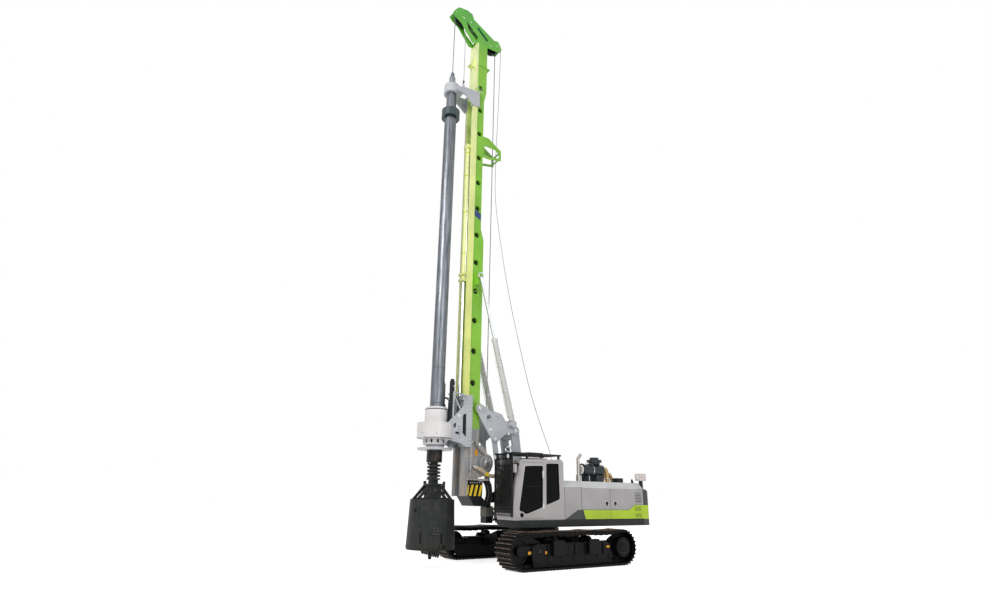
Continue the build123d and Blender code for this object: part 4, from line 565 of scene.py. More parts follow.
SKIRT = finish("skirt_paint", (25, 30, 32), 0.42, 0.04, shine=0.25)
BRONZE = finish("aged_grey_paint", (118, 112, 106), 0.5, 0.2)
TEAL = finish("filter_paint", (22, 34, 40), 0.36, 0.04, coat=0.1, shine=0.35)
BRIGHT = finish("bright_steel", (196, 196, 196), 0.24, 0.04, grain=160.0, metal=0.9)
CHROME = finish("chrome_rod", (214, 216, 220), 0.14, 0.03, grain=200.0, bump=0.02, metal=1.0)
PIPE = finish("exhaust_pipe", (176, 172, 164), 0.3, 0.1, srgb(120, 100, 80), metal=0.8)
RUBBER = finish("rubber", (16, 17, 18), 0.7, 0.06, grain=120.0, bump=0.15, shine=0.2)
HOSE = finish("hose_rubber", (17, 18, 20), 0.55, 0.05, grain=140.0, bump=0.12, shine=0.25)
SLEEVE = finish("hose_sleeve", (198, 182, 158), 0.85, 0.2, grain=180.0, bump=0.4)
CLOTH = finish("seat_cloth", (30, 31, 34), 0.9, 0.1, grain=300.0, bump=0.5)
ORANGE = finish("orange_sign", (232, 160, 26), 0.5, 0.05)
YELLOW = finish("yellow_band", (245, 208, 30), 0.5, 0.05)
BLUE = finish("blue_sign", (36, 62, 120), 0.5, 0.04)
WHITE = finish("white_paint", (232, 231, 228), 0.4, 0.05)
LENS = finish("lamp_lens", (226, 230, 232), 0.12, 0.02, coat=0.6)
RED = finish("red_lens", (150, 24, 20), 0.3, 0.05, coat=0.5)
HOLE = finish("hole_shadow", (12, 14, 14), 0.9, 0.02)

HEAD_SHADE = finish("head_shade_paint", (6, 84, 58), 0.5, 0.05, shine=0.2)
BRASS = finish("aged_brass", (176, 148, 98), 0.34, 0.1, grain=90.0, metal=0.7)
SLEEVE_PAINT = finish("saddle_paint", (208, 190, 160), 0.5, 0.1)
LAMP_BOX = finish("lamp_box_paint", (228, 218, 214), 0.4, 0.06)
RIM = finish("window_rim", (200, 198, 196), 0.36, 0.05)
CLOTH_GREY = finish("cab_plastic", (70, 72, 76), 0.6, 0.06, grain=200.0, bump=0.15)
DARK_STEEL = finish("dark_steel", (62, 62, 62), 0.45, 0.2, metal=0.5)
KELLY_DARK = finish("collar_paint", (70, 84, 88), 0.4, 0.1, metal=0.4)
# a paler copy of the lime paint: painted highlight of the lit front of the mast
LIME_LIT_FRONT = finish("lime_front_painted_highlight", (196, 224, 70), 0.36, 0.05, coat=0.2)
LIME_HEAD = finish("lime_head_paint", (110, 200, 70), 0.36, 0.05, coat=0.2)

NODE_FINISH = {
    "car_body": DEEP, "left_track_frame": DEEP, "right_track_frame": DEEP, "left_track": TRACK,
    "right_track": TRACK, "left_track_wheels": DEEP, "right_track_wheels": DEEP, "upper_frame": SKIRT,
    "counterweight": HOUSING, "engine_hood": HOOD, "left_front_panel": HOUSING, "right_side_panel": HOUSING,
    "front_bulkhead": HOUSING, "front_service_door": HOUSING, "rear_service_door": HOUSING,
    "engine_block": BRONZE, "air_cleaner": TEAL, "exhaust_stack": PIPE, "right_front_box": CAB_GREY,
    "auxiliary_winch_frame": DARK, "auxiliary_winch_drum": WINCH_GREY, "cab_frame": CAB_GREY,
    "cab_roof": CAB_GREY, "cab_door": CAB_GREY, "operator_seat": CLOTH, "cab_guard": DARK,
    "rear_arm": ARM_GREY, "front_struts": ARM_GREY, "mast_bracket": PALE, "luff_cylinder_barrels": DARK,
    "luff_cylinder_rods": CHROME, "mast_cylinder_barrels": SAND, "mast_cylinder_rods": CHROME,
    "mast_beam": LIME, "lower_mast": MAST_GREY, "mast_foot": DARK, "mast_head": LIME,
    "crowd_cylinder_barrel": LIME, "crowd_cylinder_rod": CHROME, "rope_guide_basket": LIME,
    "main_winch_drum": WINCH_GREY, "main_head_sheave": DARK, "main_rear_sheave": DARK,
    "auxiliary_head_sheave": DARK, "auxiliary_rear_sheave": DARK, "rotary_carriage": PALE,
    "rotary_gearbox": GEAR, "drive_motors": DARK, "drive_sleeve": PALE, "kelly_guide": PALE,
    "rope_swivel": KELLY, "kelly_outer_tube": KELLY, "kelly_inner_tube": BUCKET, "kelly_spring": BUCKET,
    "drilling_bucket": BUCKET, "bucket_gate": BUCKET,
}


def dress_frame():
    """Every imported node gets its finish."""
    for name, item in NODE_FINISH.items():
        mesh = NODES[name].data
        mesh.materials.clear()
        mesh.materials.append(item)


# --- places of the CAD pieces that the fittings sit on -------------------------
LOWER_Y = 0.255
CASE_YS = (0.279, 0.334, 0.379)
FOOT_FLANGE_TOP = 2.301
CARRIAGE_Y = 0.44
GEAR_TIER = 0.33
NECK_RADIUS = 0.345
MAST_CYLINDER_YS = (-0.49, 0.49)
GUIDE_Y = 0.315


# --- undercarriage -----------------------------------------------------------
SHOES = 46
IDLER_X = 1.86
SPROCKET_X = -1.775
HUB_Z = 0.485
GROUSER = 0.04
TOP_SAG = 0.022
CARRIERS = (-0.56, 0.68)


def loop_place(share, depth):
    """The (x, z) place on a track's loop, this share round it and this deep in it."""
    radius = HUB_Z - GROUSER - depth
    straight = IDLER_X - SPROCKET_X
    turn = math.pi * (HUB_Z - GROUSER)
    place = (share % 1) * 2 * (straight + turn)
    if place < straight:
        return (SPROCKET_X + place, HUB_Z - radius)
    place -= straight
    if place < turn:
        angle = -math.pi / 2 + math.pi * place / turn
        return (IDLER_X + radius * math.cos(angle), HUB_Z + radius * math.sin(angle))
    place -= turn
    if place < straight:
        x = IDLER_X - place
        supports = (SPROCKET_X, *CARRIERS, IDLER_X)
        left, right = next((a, b) for a, b in zip(supports, supports[1:]) if a - 0.001 <= x <= b + 0.001)
        reach = (x - left) / (right - left)
        return (x, HUB_Z + radius - TOP_SAG * 4 * reach * (1 - reach))
    place -= straight
    angle = math.pi / 2 + math.pi * place / turn
    return (SPROCKET_X + radius * math.cos(angle), HUB_Z + radius * math.sin(angle))


def track_chain(name, side):
    """Shoes with two grousers each, bolted to two rows of links with their pins."""
    middle = side * TRACK_MIDDLE
    shape = Shape()
    half = TRACK_HALF - 0.002
    for i in range(SHOES):
        plate = [
            loop_place((i + share) / SHOES, depth)
            for share, depth in (
                (0.02, 0.006), (0.06, 0.0), (0.11, -GROUSER + 0.012), (0.21, -GROUSER + 0.012), (0.26, 0.0),
                (0.56, 0.002), (0.61, -GROUSER + 0.012), (0.71, -GROUSER + 0.012), (0.76, 0.004),
                (1.03, 0.014), (1.03, 0.022), (0.02, 0.022),
            )
        ]
        shape.plate(plate, middle - half, middle + half, 1)
        for start in (0.1, 0.6):
            crest = [
                loop_place((i + start + share) / SHOES, depth)
                for share,
                depth in (
                    (-0.005, 0.012 - GROUSER), (0.01, 0.001 - GROUSER), (0.11, 0.001 - GROUSER),
                    (0.125, 0.012 - GROUSER)
                )
            ]
            shape.plate(crest, middle - half + 0.001, middle + half - 0.001)
        for row in (-0.085, 0.085):
            link = [
                loop_place((i + share) / SHOES, depth)
                for share,
                depth in (
                    (0.04, 0.02), (0.96, 0.02), (0.98, 0.075), (0.8, 0.108), (0.2, 0.108), (0.02, 0.075)
                )
            ]
            shape.plate(link, middle + row - 0.014, middle + row + 0.014, 1)
            for share in (0.3, 0.7):
                x, z = loop_place((i + share) / SHOES, 0.002)
                far_x, far_z = loop_place((i + share) / SHOES, -0.01)
                out = Vector((far_x - x, 0, far_z - z))
                shape.bolt((x, middle + row, z), out, 0.026, 1)
        x, z = loop_place(i / SHOES, 0.066)
        shape.bar((x, middle - 0.11, z), (x, middle + 0.11, z), 0.022, 10, 1)
    piece = shape.done(f"{name}_shoes", "undercarriage", (TRACK, DEEP), 0.0, 30)
    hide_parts(name)


def undercarriage_fittings():
    """Sprocket teeth, hub covers with bolts, step treads, frame ribs, plugs and orange signs."""
    for side, name in ((1, "left"), (-1, "right")):
        middle = side * TRACK_MIDDLE
        outer = side * (TRACK_MIDDLE + 0.185)
        out = (0, side, 0)
        teeth = Shape()
        for i in range(21):
            angle = 2 * math.pi * i / 21
            reach = [(0.318, -0.1), (0.362, -0.045), (0.362, 0.045), (0.318, 0.1)]
            outline = [
                (SPROCKET_X + r * math.cos(angle + a), HUB_Z + r * math.sin(angle + a)) for r, a in reach
            ]
            teeth.plate(outline, middle - 0.03, middle + 0.03)
        teeth.done(f"{name}_sprocket_teeth", "undercarriage", TRACK, 0.003)
        hub = Shape()
        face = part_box(f"{name}_track_wheels")[1][1] if side > 0 else -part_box("right_track_wheels")[0][1]
        cover = side * (face - 0.03)
        hub.bolts((SPROCKET_X, cover, HUB_Z), out, 0.215, 20, 0.026, slot=1)
        hub.ring((SPROCKET_X, cover, HUB_Z), out, 0.185, 0.155, 0.008, slot=0)
        hub.bolts((SPROCKET_X, side * face, HUB_Z), out, 0.105, 8, 0.022, slot=1)
        hub.bolt((SPROCKET_X + 0.03, side * face, HUB_Z + 0.05), out, 0.04, 2)
        hub.done(f"{name}_final_drive_bolts", "undercarriage", (SKIRT, DEEP, DEEP), 0.0)
        idler = Shape()
        at_idler = side * (TRACK_MIDDLE + 0.1)
        idler.lathe(
            (IDLER_X, at_idler, HUB_Z), out, ((0, 0.085), (0.03, 0.085), (0.045, 0.06), (0.045, 0)), 24
        )
        idler.bolts((IDLER_X, at_idler + side * 0.045, HUB_Z), out, 0.04, 4, 0.016, slot=1)
        for x, z in ((1.60, 0.44), (1.02, 0.43)):
            idler.box((x - 0.05, outer, z - 0.035), (x + 0.05, outer + side * 0.006, z + 0.035), 2)
        idler.box((-1.31, outer, 0.48), (-1.19, outer + side * 0.006, 0.54), 2)
        idler.bolt((1.25, outer, 0.47), out, 0.05, 1)
        idler.done(f"{name}_idler_cover", "undercarriage", (DEEP, DARK_STEEL, ORANGE), 0.002)
        ribs = Shape()
        for x in (-1.05, -0.36, 0.02, 0.4, 1.0):
            ribs.plate(
                ((x - 0.01, 0.33), (x + 0.01, 0.33), (x + 0.01, 0.62), (x - 0.01, 0.62)), outer,
                outer + side * 0.03
            )
        ribs.plate(((-0.32, 0.345), (0.36, 0.345), (0.36, 0.36), (-0.32, 0.36)), outer, outer + side * 0.028)
        for x in (-0.2, 0.2):
            ribs.lathe((x, outer, 0.5), out, ((0, 0.055), (0.012, 0.055), (0.016, 0.045), (0.016, 0)), 20)
            ribs.bolts((x, outer + side * 0.014, 0.5), out, 0.04, 6, 0.01, slot=1)
        guard_from, guard_to = outer - side * 0.03, outer - side * 0.008
        ribs.plate(((-1.36, 0.08), (1.44, 0.08), (1.5, 0.27), (-1.42, 0.27)), guard_from, guard_to)
        shield = ((-1.75, 0.075), (1.8, 0.075), (1.92, 0.2), (1.95, 0.44), (-1.9, 0.44), (-1.88, 0.2))
        ribs.plate(shield, middle - side * 0.2, middle - side * 0.204)
        ribs.done(f"{name}_frame_ribs", "undercarriage", (DEEP, DARK_STEEL), 0.002)
        rollers = Shape()
        first, last = SPROCKET_X + 0.47, IDLER_X - 0.47
        for i in range(7):
            x = first + (last - first) * i / 6
            rollers.lathe(
                (x, outer - side * 0.004, 0.252), out,
                ((0, 0.062), (0.014, 0.062), (0.022, 0.05), (0.022, 0)), 20
            )
            rollers.bolts((x, outer + side * 0.016, 0.252), out, 0.04, 4, 0.012, slot=1)
        rollers.done(f"{name}_roller_caps", "undercarriage", (DEEP, DARK_STEEL), 0.0)
        steps = Shape()
        step_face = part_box(f"{name}_track_frame")[1][1] if side > 0 else -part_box("right_track_frame")[0][1]
        for x in (0.65, -0.64):
            outline = (
                (x - 0.205, 0.352), (x + 0.205, 0.352), (x + 0.205, 0.68), (x + 0.16, 0.728),
                (x - 0.16, 0.728), (x - 0.205, 0.68)
            )
            steps.plate(outline, side * (step_face - 0.001), side * (step_face + 0.004))
        steps.done(f"{name}_step_plates", "undercarriage", DEEP, 0.002)
    ring = Shape()
    ring.ring((0, 0, 0.985), (0, 0, 1), 0.72, 0.60, 0.02)
    ring.bolts((0, 0, 0.87), (0, 0, 1), 0.71, 36, 0.024, slot=1)
    ring.done("swing_ring_bolts", "undercarriage", (DEEP, BRIGHT), 0.0)
    middle = Shape()
    middle.lathe((0.1, 0.0, 0.42), (0, 0, 1), ((0, 0.16), (0.03, 0.2), (0.06, 0.2)), 28)
    middle.bolts((0.1, 0, 0.435), (0, 0, -1), 0.17, 10, 0.02, slot=1)
    middle.done("car_body_cover", "undercarriage", (DEEP, BRIGHT), 0.002)


# --- deck and housing --------------------------------------------------------
def vent(shape, x_from, x_to, z_from, z_to, count, y):
    """Louvre blades in a thin frame on a side at y, with a dark plate behind them as painted shade in the
    openings.
    """
    out = math.copysign(1, y)
    # painted shade: a dark plate on the panel behind the blades
    shape.box((x_from, y, z_from), (x_to, y + out * 0.002, z_to), 1)
    for low, high in (
        ((x_from - 0.01, z_from - 0.01), (x_to + 0.01, z_from)),
        ((x_from - 0.01, z_to), (x_to + 0.01, z_to + 0.01))
    ):
        shape.box((low[0], y, low[1]), (high[0], y + out * 0.008, high[1]))
    for x in (x_from - 0.01, x_to):
        shape.box((x, y, z_from), (x + 0.01, y + out * 0.008, z_to))
    pitch = (z_to - z_from) / count
    for i in range(count):
        z = z_from + pitch * i
        shape.plate(
            (
                (x_from, z + pitch * 0.2), (x_to, z + pitch * 0.2), (x_to, z + pitch * 0.8),
                (x_from, z + pitch * 0.8)
            ),
            y, y + out * 0.007, 0
        )


def side_fittings():
    """Seams, hinges, round latches, vents and the lip under the hood."""
    y = HALF_WIDTH
    doors = (("front_service_door_body", -1.647, -0.64), ("rear_service_door_body", -2.001, -3.24))
    for body, x, hinge in doors:
        latch = Shape()
        latch.ring((x, y - 0.0005, 1.668), (0, 1, 0), 0.086, 0.068, 0.008, 40)
        latch.lathe((x, y - 0.0005, 1.668), (0, 1, 0), ((0, 0.068), (0.003, 0.068), (0.003, 0)), 40, 1)
        latch.box((x - 0.034, y + 0.002, 1.655), (x + 0.034, y + 0.008, 1.681), 1)
        latch.bar((x + 0.016, y, 1.64), (x + 0.016, y + 0.007, 1.64), 0.008, 12, 2)
        latch.done(body.replace("_body", "_latch"), body, (WHITE, DARK, CHROME), 0.001)
        hinges = Shape()
        way = math.copysign(1, x - hinge)
        for z in (1.36, 1.72, 2.0):
            inner, outer = sorted((hinge + 0.012 * way, hinge + 0.05 * way))
            hinges.box((inner, y - 0.001, z), (outer, y + 0.004, z + 0.07))
            for bolt_z in (z + 0.02, z + 0.05):
                hinges.bolt((hinge + 0.03 * way, y + 0.004, bolt_z), (0, 1, 0), 0.008)
        hinges.done(body.replace("_body", "_hinges"), body, HOUSING, 0.001)
    rear = Shape()
    vent(rear, -3.17, -2.89, 1.70, 2.01, 7, y)
    vent(rear, -3.14, -2.85, 1.47, 1.59, 3, y)
    vent(rear, -3.14, -2.85, 1.28, 1.38, 3, y)
    rear.done("rear_door_vents", "rear_service_door_body", (HOUSING, SKIRT), 0.0)
    right = Shape()
    vent(right, -3.1, -2.4, 1.45, 2.0, 12, -y)
    vent(right, -2.1, -1.5, 1.45, 2.0, 12, -y)
    for x in (-1.0, -0.3):
        right.box((x, -y - 0.004, 1.66), (x + 0.09, -y, 1.71))
    right.done("right_panel_vents", "upper", (HOUSING, SKIRT), 0.0)
    tail = Shape()
    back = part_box("counterweight")[0][0] - AXIS_X
    for z in (1.45, 1.9):
        for side in (-0.9, 0.9):
            tail.lathe(
                (back, side, z), (-1, 0, 0),
                ((0, 0.07), (0.008, 0.07), (0.008, 0.03), (0.002, 0.03), (0.002, 0)), 24
            )
    tail.box((back - 0.006, -0.5, 1.55), (back, 0.5, 1.85), 1)
    for side in (-1.25, 1.25):
        tail.box((back - 0.008, side - 0.08, 1.32), (back, side + 0.08, 1.38), 2)
    tail.done("counterweight_fittings", "upper", (SKIRT, HOUSING, RED), 0.002)
    seams = Shape()
    for x in (0.03, -0.62):
        seams.box((x - 0.005, y - 0.001, 1.25), (x + 0.005, y + 0.0012, 2.1))
        seams.box((x + 0.006, y - 0.001, 1.25), (x + 0.012, y + 0.001, 2.1), 2)
    seams.box((-3.25, y - 0.001, 1.232 - 0.004), (1.6, y + 0.001, 1.232 + 0.004))
    for i in range(12):
        x = -3.0 + i * 0.42
        seams.bolt((x, y, 1.13), (0, 1, 0), 0.014, 1)
    seams.done("side_seams", "upper", (HOLE, SKIRT, HOUSING), 0.0)
    skirt = Shape()
    for x_from, x_to in ((0.45, 1.55), (-0.7, 0.3), (-3.2, -0.8)):
        skirt.box((x_from, y - 0.001, 1.06), (x_to, y + 0.002, 1.2))
    skirt.done("deck_skirt_plates", "upper", SKIRT, 0.002)


def roof_fittings():
    """Filter straps and pipes, saddle, lamp box, hatches and the tail lamp."""
    strap = Shape()
    strap.ring((-1.50, 1.0, 2.66), (1, 0, 0), 0.189, 0.183, 0.022, 40)
    strap.bolt((-1.28, 1.0, 2.849), (0, 0, 1), 0.02)
    strap.lathe(
        (-1.0855, 1.0, 2.66), (1, 0, 0), ((0, 0.142), (0.004, 0.142), (0.006, 0.136), (0.006, 0)), 48, 1
    )
    strap.ring((-1.08, 1.0, 2.66), (1, 0, 0), 0.086, 0.07, 0.004, 32, 2)
    strap.lathe(
        (-1.081, 1.0, 2.66), (1, 0, 0), ((0, 0.032), (0.012, 0.032), (0.014, 0.02), (0.014, 0)), 20, 2
    )
    strap.done("air_cleaner_straps", "upper", (BRIGHT, WHITE, BRONZE), 0.0)
    cap = Shape()
    cap.ring((-1.66, 1.0, 2.888), (0, 0, 1), 0.241, 0.236, 0.012, 40)
    cap.ring((-1.66, 1.0, 2.955), (0, 0, 1), 0.205, 0.196, 0.01, 40)
    cap.bolt((-1.66, 1.0, 3.035), (0, 0, 1), 0.03, 1)
    cap.done("pre_cleaner_trim", "upper", (TEAL, BRIGHT), 0.0)
    pipes = Shape()
    pipes.tube(
        curve(
            (
                (-1.9, 1.0, 2.66), (-2.0, 1.0, 2.69), (-2.075, 1.0, 2.71), (-2.16, 1.0, 2.66),
                (-2.19, 1.0, 2.52), (-2.2, 1.0, 2.29)
            ),
            6
        ),
        0.07, 20
    )
    pipes.tube(
        curve(
            (
                (-2.2, 0.78, 2.29), (-2.24, 0.8, 2.48), (-2.33, 0.84, 2.57), (-2.44, 0.88, 2.54),
                (-2.5, 0.9, 2.4), (-2.51, 0.9, 2.29)
            ),
            6
        ),
        0.055, 20
    )
    for x, z, y in ((-2.19, 2.42, 1.0), (-2.51, 2.36, 0.9)):
        pipes.ring((x, y, z), (0, 0, 1), 0.082, 0.06, 0.02, 28, 1)
    pipes.done("intake_elbows", "upper", (BRASS, BRIGHT), 0.0)
    saddle = Shape()
    saddle.plate(
        (
            (-1.92, 2.27), (-1.60, 2.27), (-1.60, 2.33), (-1.64, 2.46), (-1.72, 2.475), (-1.80, 2.475),
            (-1.88, 2.46), (-1.92, 2.33)
        ),
        0.86, 1.14
    )
    for x in (-1.86, -1.66):
        saddle.bolt((x, 1.1, 2.3), (0, 1, 0), 0.02, 1)
    saddle.done("filter_saddle", "upper", (SLEEVE_PAINT, BRIGHT), 0.006)
    bits = Shape()
    bits.box((-2.67, 1.02, 2.29), (-2.41, 1.24, 2.44))
    bits.plate(((-3.23, 2.29), (-3.14, 2.29), (-3.155, 2.42), (-3.175, 2.43)), 1.12, 1.18)
    bits.done("hood_boxes", "upper", DARK, 0.01)
    lamp_box = Shape()
    lamp_box.box((-3.548, 1.176, 2.376), (-3.286, 1.424, 2.594))
    lamp_box.box((-3.552, 1.172, 2.57), (-3.282, 1.428, 2.6))
    lamp_box.lathe(
        (-3.287, 1.3, 2.48), (1, 0, 0), ((0, 0.07), (0.012, 0.07), (0.016, 0.06), (0.016, 0)), 28, 2
    )
    lamp_box.done("rear_lamp_box", "upper", (LAMP_BOX, DARK, LENS), 0.006)
    lid = Shape()
    for x_from, x_to in ((-1.55, -0.35), (-3.1, -2.6)):
        lid.box((x_from, -0.9, HOOD_TOP - 0.001), (x_to, 0.62, HOOD_TOP + 0.014))
        lid.box((x_from + 0.1, 0.5, HOOD_TOP + 0.014), (x_from + 0.22, 0.53, HOOD_TOP + 0.03), 1)
    lid.done("hood_hatches", "upper", (HOOD, DARK), 0.004)
    stack = Shape()
    stack.ring((-0.97, 1.0, 2.478), (0, 0, 1), 0.08, 0.05, 0.012, 32)
    stack.bolts((-0.97, 1.0, 2.3), (0, 0, 1), 0.1, 6, 0.014, slot=0)
    stack.ring((-0.97, 1.0, 2.62), (0, 0, 1), 0.055, 0.047, 0.03, 32)
    stack.done("exhaust_clamps", "upper", BRIGHT, 0.0)


# --- cab ---------------------------------------------------------------------
def pull_in(outline, share):
    """An outline drawn towards its middle by a distance."""
    mid_x = sum(x for x, _ in outline) / len(outline)
    mid_z = sum(z for _, z in outline) / len(outline)
    drawn = []
    for x, z in outline:
        reach = math.hypot(x - mid_x, z - mid_z)
        keep = (reach - share) / reach
        drawn.append((mid_x + (x - mid_x) * keep, mid_z + (z - mid_z) * keep))
    return drawn


def rim(shape, outline, near, far, width, slot=0):
    """A frame of even width along an outline in side view."""
    inner = pull_in(outline, width)
    count = len(outline)
    points = [(x, near, z) for x, z in outline] + [(x, far, z) for x, z in outline]
    points += [(x, far, z) for x, z in inner] + [(x, near, z) for x, z in inner]
    closing = [(3 * count + i, 3 * count + (i + 1) % count, (i + 1) % count, i) for i in range(count)]
    shape.add(points, side_faces(count, 4) + closing, slot)


def rounded(outline, radius, steps=4):
    """The outline with its corners rounded."""
    line = []
    count = len(outline)
    for i in range(count):
        before, corner, after = (Vector(outline[(i + k) % count]) for k in (-1, 0, 1))
        into = (before - corner).normalized()
        away = (after - corner).normalized()
        cut = min(radius, (before - corner).length * 0.4, (after - corner).length * 0.4)
        start, end = corner + into * cut, corner + away * cut
        for k in range(steps + 1):
            t = k / steps
            line.append(tuple(start * (1 - t) ** 2 + corner * 2 * t * (1 - t) + end * t * t))
    return line


DOOR_HINGE_X = 0.765
BASKET_YS = (-0.235, 0.235)
DOOR_WINDOW = ((1.672, 1.476), (1.464, 2.659), (0.819, 2.685), (0.838, 1.554), (1.417, 1.373))
QUARTER_WINDOW = ((0.211, 1.771), (0.236, 2.77), (0.705, 2.75), (0.722, 1.607))
INNER_WINDOW = ((0.3, 1.9), (0.3, 2.65), (1.4, 2.65), (1.5, 1.9))


def windscreen_x(z):
    """The front of the cab at a height."""
    low, high = (1.856, 1.362), (1.638, 2.719)
    share = (z - low[1]) / (high[1] - low[1])
    return low[0] + (high[0] - low[0]) * share + 0.045 * 4 * share * (1 - share)


def cab_glass():
    """Dark panes in black seals with thin bright rims."""
    y = HALF_WIDTH
    door = Shape()
    pane = rounded(DOOR_WINDOW, 0.05)
    door.plate(pull_in(pane, -0.004), y - 0.03, y - 0.022)
    rim(door, pull_in(pane, -0.02), y - 0.004, y + 0.004, 0.026, 1)
    rim(door, pull_in(pane, 0.006), y - 0.02, y + 0.002, 0.022, 2)
    door.lathe((1.571, y - 0.03, 1.361), (0, 1, 0), ((0, 0.07), (0.008, 0.07), (0.008, 0)), 32)
    door.ring((1.571, y - 0.004, 1.361), (0, 1, 0), 0.088, 0.066, 0.007, 32, 1)
    door.box((0.84, y - 0.026, 2.1), (1.6, y - 0.016, 2.115), 2)
    door.done("door_glass", "cab_door_body", (GLASS, RIM, RUBBER), 0.0)
    quarter = Shape()
    pane = rounded(QUARTER_WINDOW, 0.05)
    quarter.plate(pull_in(pane, -0.004), y - 0.03, y - 0.022)
    rim(quarter, pull_in(pane, -0.018), y - 0.004, y + 0.004, 0.024, 1)
    rim(quarter, pull_in(pane, 0.006), y - 0.02, y + 0.002, 0.022, 2)
    inner = rounded(INNER_WINDOW, 0.05)
    quarter.plate(pull_in(inner, -0.004), CAB_INNER + 0.02, CAB_INNER + 0.028)
    rim(quarter, pull_in(inner, -0.015), CAB_INNER - 0.003, CAB_INNER + 0.004, 0.02, 1)
    rim(quarter, pull_in(inner, 0.006), CAB_INNER - 0.002, CAB_INNER + 0.02, 0.022, 2)
    quarter.done("side_glass", "upper", (GLASS, RIM, RUBBER), 0.0)
    front = Shape()
    steps = 14
    near, far = CAB_INNER + 0.05, HALF_WIDTH - 0.05
    outer, back = [], []
    for i in range(steps + 1):
        z = 1.5 + (2.72 - 1.5) * i / steps
        outer.append((windscreen_x(z) - 0.02, z))
        back.append((windscreen_x(z) - 0.028, z))
    front.plate(outer + back[::-1], near, far)
    for y_at in (near, far - 0.02):
        edge = [(x + 0.012, z) for x, z in outer] + [(x, z) for x, z in back[::-1]]
        front.plate(edge, y_at, y_at + 0.02, 2)
    for z in (1.5, 2.705):
        x = windscreen_x(z) - 0.028
        front.box((x, near, z), (x + 0.03, far, z + 0.018), 2)
    front.plate([(x + 0.006, z) for x, z in outer[6:8]] + [(x, z) for x, z in outer[6:8][::-1]], near, far, 2)
    front.done("windscreen_glass", "upper", (GLASS, RIM, RUBBER), 0.0)
    rear = Shape()
    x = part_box("cab_frame")[0][0] - AXIS_X
    rear.box((x + 0.02, CAB_INNER + 0.09, 2.28), (x + 0.028, HALF_WIDTH - 0.09, 2.7))
    rear.done("rear_glass", "upper", (GLASS,), 0.0)


def cab_fittings():
    """Door handle, hinges, mirror, lamps, wiper, guard mesh and roof hatch."""
    y = HALF_WIDTH
    hinge = Shape()
    for z_from, z_to in ((1.53, 1.66), (2.34, 2.54)):
        hinge.bar((DOOR_HINGE_X, y, z_from), (DOOR_HINGE_X, y, z_to), 0.016, 16, 1)
        hinge.box((DOOR_HINGE_X + 0.022, y - 0.002, z_from), (DOOR_HINGE_X + 0.075, y + 0.008, z_to))
        for share in (0.2, 0.8):
            z = z_from + (z_to - z_from) * share
            hinge.bolt((DOOR_HINGE_X + 0.05, y + 0.008, z), (0, 1, 0), 0.009, 1)
    hinge.lathe((0.93, y, 1.46), (0, 1, 0), ((0, 0.016), (0.008, 0.016), (0.01, 0.012), (0.01, 0)), 16, 1)
    hinge.done("door_hinges", "cab_door_body", (WHITE, CAB_GREY), 0.001)
    mirror = Shape()
    mirror.tube(
        curve(((1.72, 1.44, 2.64), (1.76, 1.49, 2.72), (1.83, 1.52, 2.73), (1.83, 1.52, 2.66)), 5), 0.011,
        12, 1
    )
    mirror.box((1.80, 1.475, 2.46), (1.86, 1.56, 2.68))
    mirror.box((1.796, 1.485, 2.475), (1.80, 1.55, 2.665), 2)
    mirror.done("mirror", "upper", (CAB_GREY, DARK, CHROME), 0.01)
    lamps = Shape()
    for lamp_y in (0.72, 1.36):
        lamps.lathe(
            (1.903, lamp_y, 2.905), (1, 0, -0.15),
            ((0, 0.03), (0.02, 0.06), (0.05, 0.066), (0.055, 0.058), (0.055, 0)), 20
        )
        lamps.lathe((1.956, lamp_y, 2.897), (1, 0, -0.15), ((0, 0.058), (0.006, 0.055), (0.008, 0)), 20, 1)
        lamps.box((1.902, lamp_y - 0.012, 2.93), (1.93, lamp_y + 0.012, 3.0))
    lamps.done("cab_lamps", "upper", (DARK, LENS), 0.0)
    wiper = Shape()
    foot = windscreen_x(1.56)
    wiper.lathe((foot, 1.05, 1.53), (1, 0, 0), ((-0.02, 0.03), (0.01, 0.03), (0.014, 0.02), (0.014, 0)), 16)
    route = [(windscreen_x(1.55 + k * 0.1) + 0.006, 1.05 + 0.03 * k, 1.55 + k * 0.1) for k in range(7)]
    wiper.tube(route, 0.007, 8)
    blade = [(windscreen_x(1.6 + k * 0.1) - 0.002, 1.2 + 0.02 * k, 1.6 + k * 0.1) for k in range(7)]
    wiper.tube(blade, 0.008, 8)
    wiper.done("wiper", "upper", DARK, 0.0)
    mesh = Shape()
    for k in range(27):
        mesh_y = CAB_INNER + 0.045 + k * 0.0315
        mesh.box((1.893, mesh_y, 1.4), (1.899, mesh_y + 0.015, 2.97))
    for k in range(48):
        z = 1.42 + k * 0.0325
        mesh.box((1.889, CAB_INNER + 0.03, z), (1.894, HALF_WIDTH - 0.03, z + 0.015))
    for k in range(9):
        x = 0.42 + k * 0.165
        mesh.box((x, CAB_INNER + 0.04, 2.985), (x + 0.006, HALF_WIDTH - 0.04, 2.992))
    mesh.done("guard_mesh", "upper", DARK, 0.0)
    roof = Shape()
    roof.box((0.5, 0.85, 2.874), (1.2, 1.3, 2.9))
    roof.done("cab_roof_hatch", "upper", CAB_GREY, 0.008)


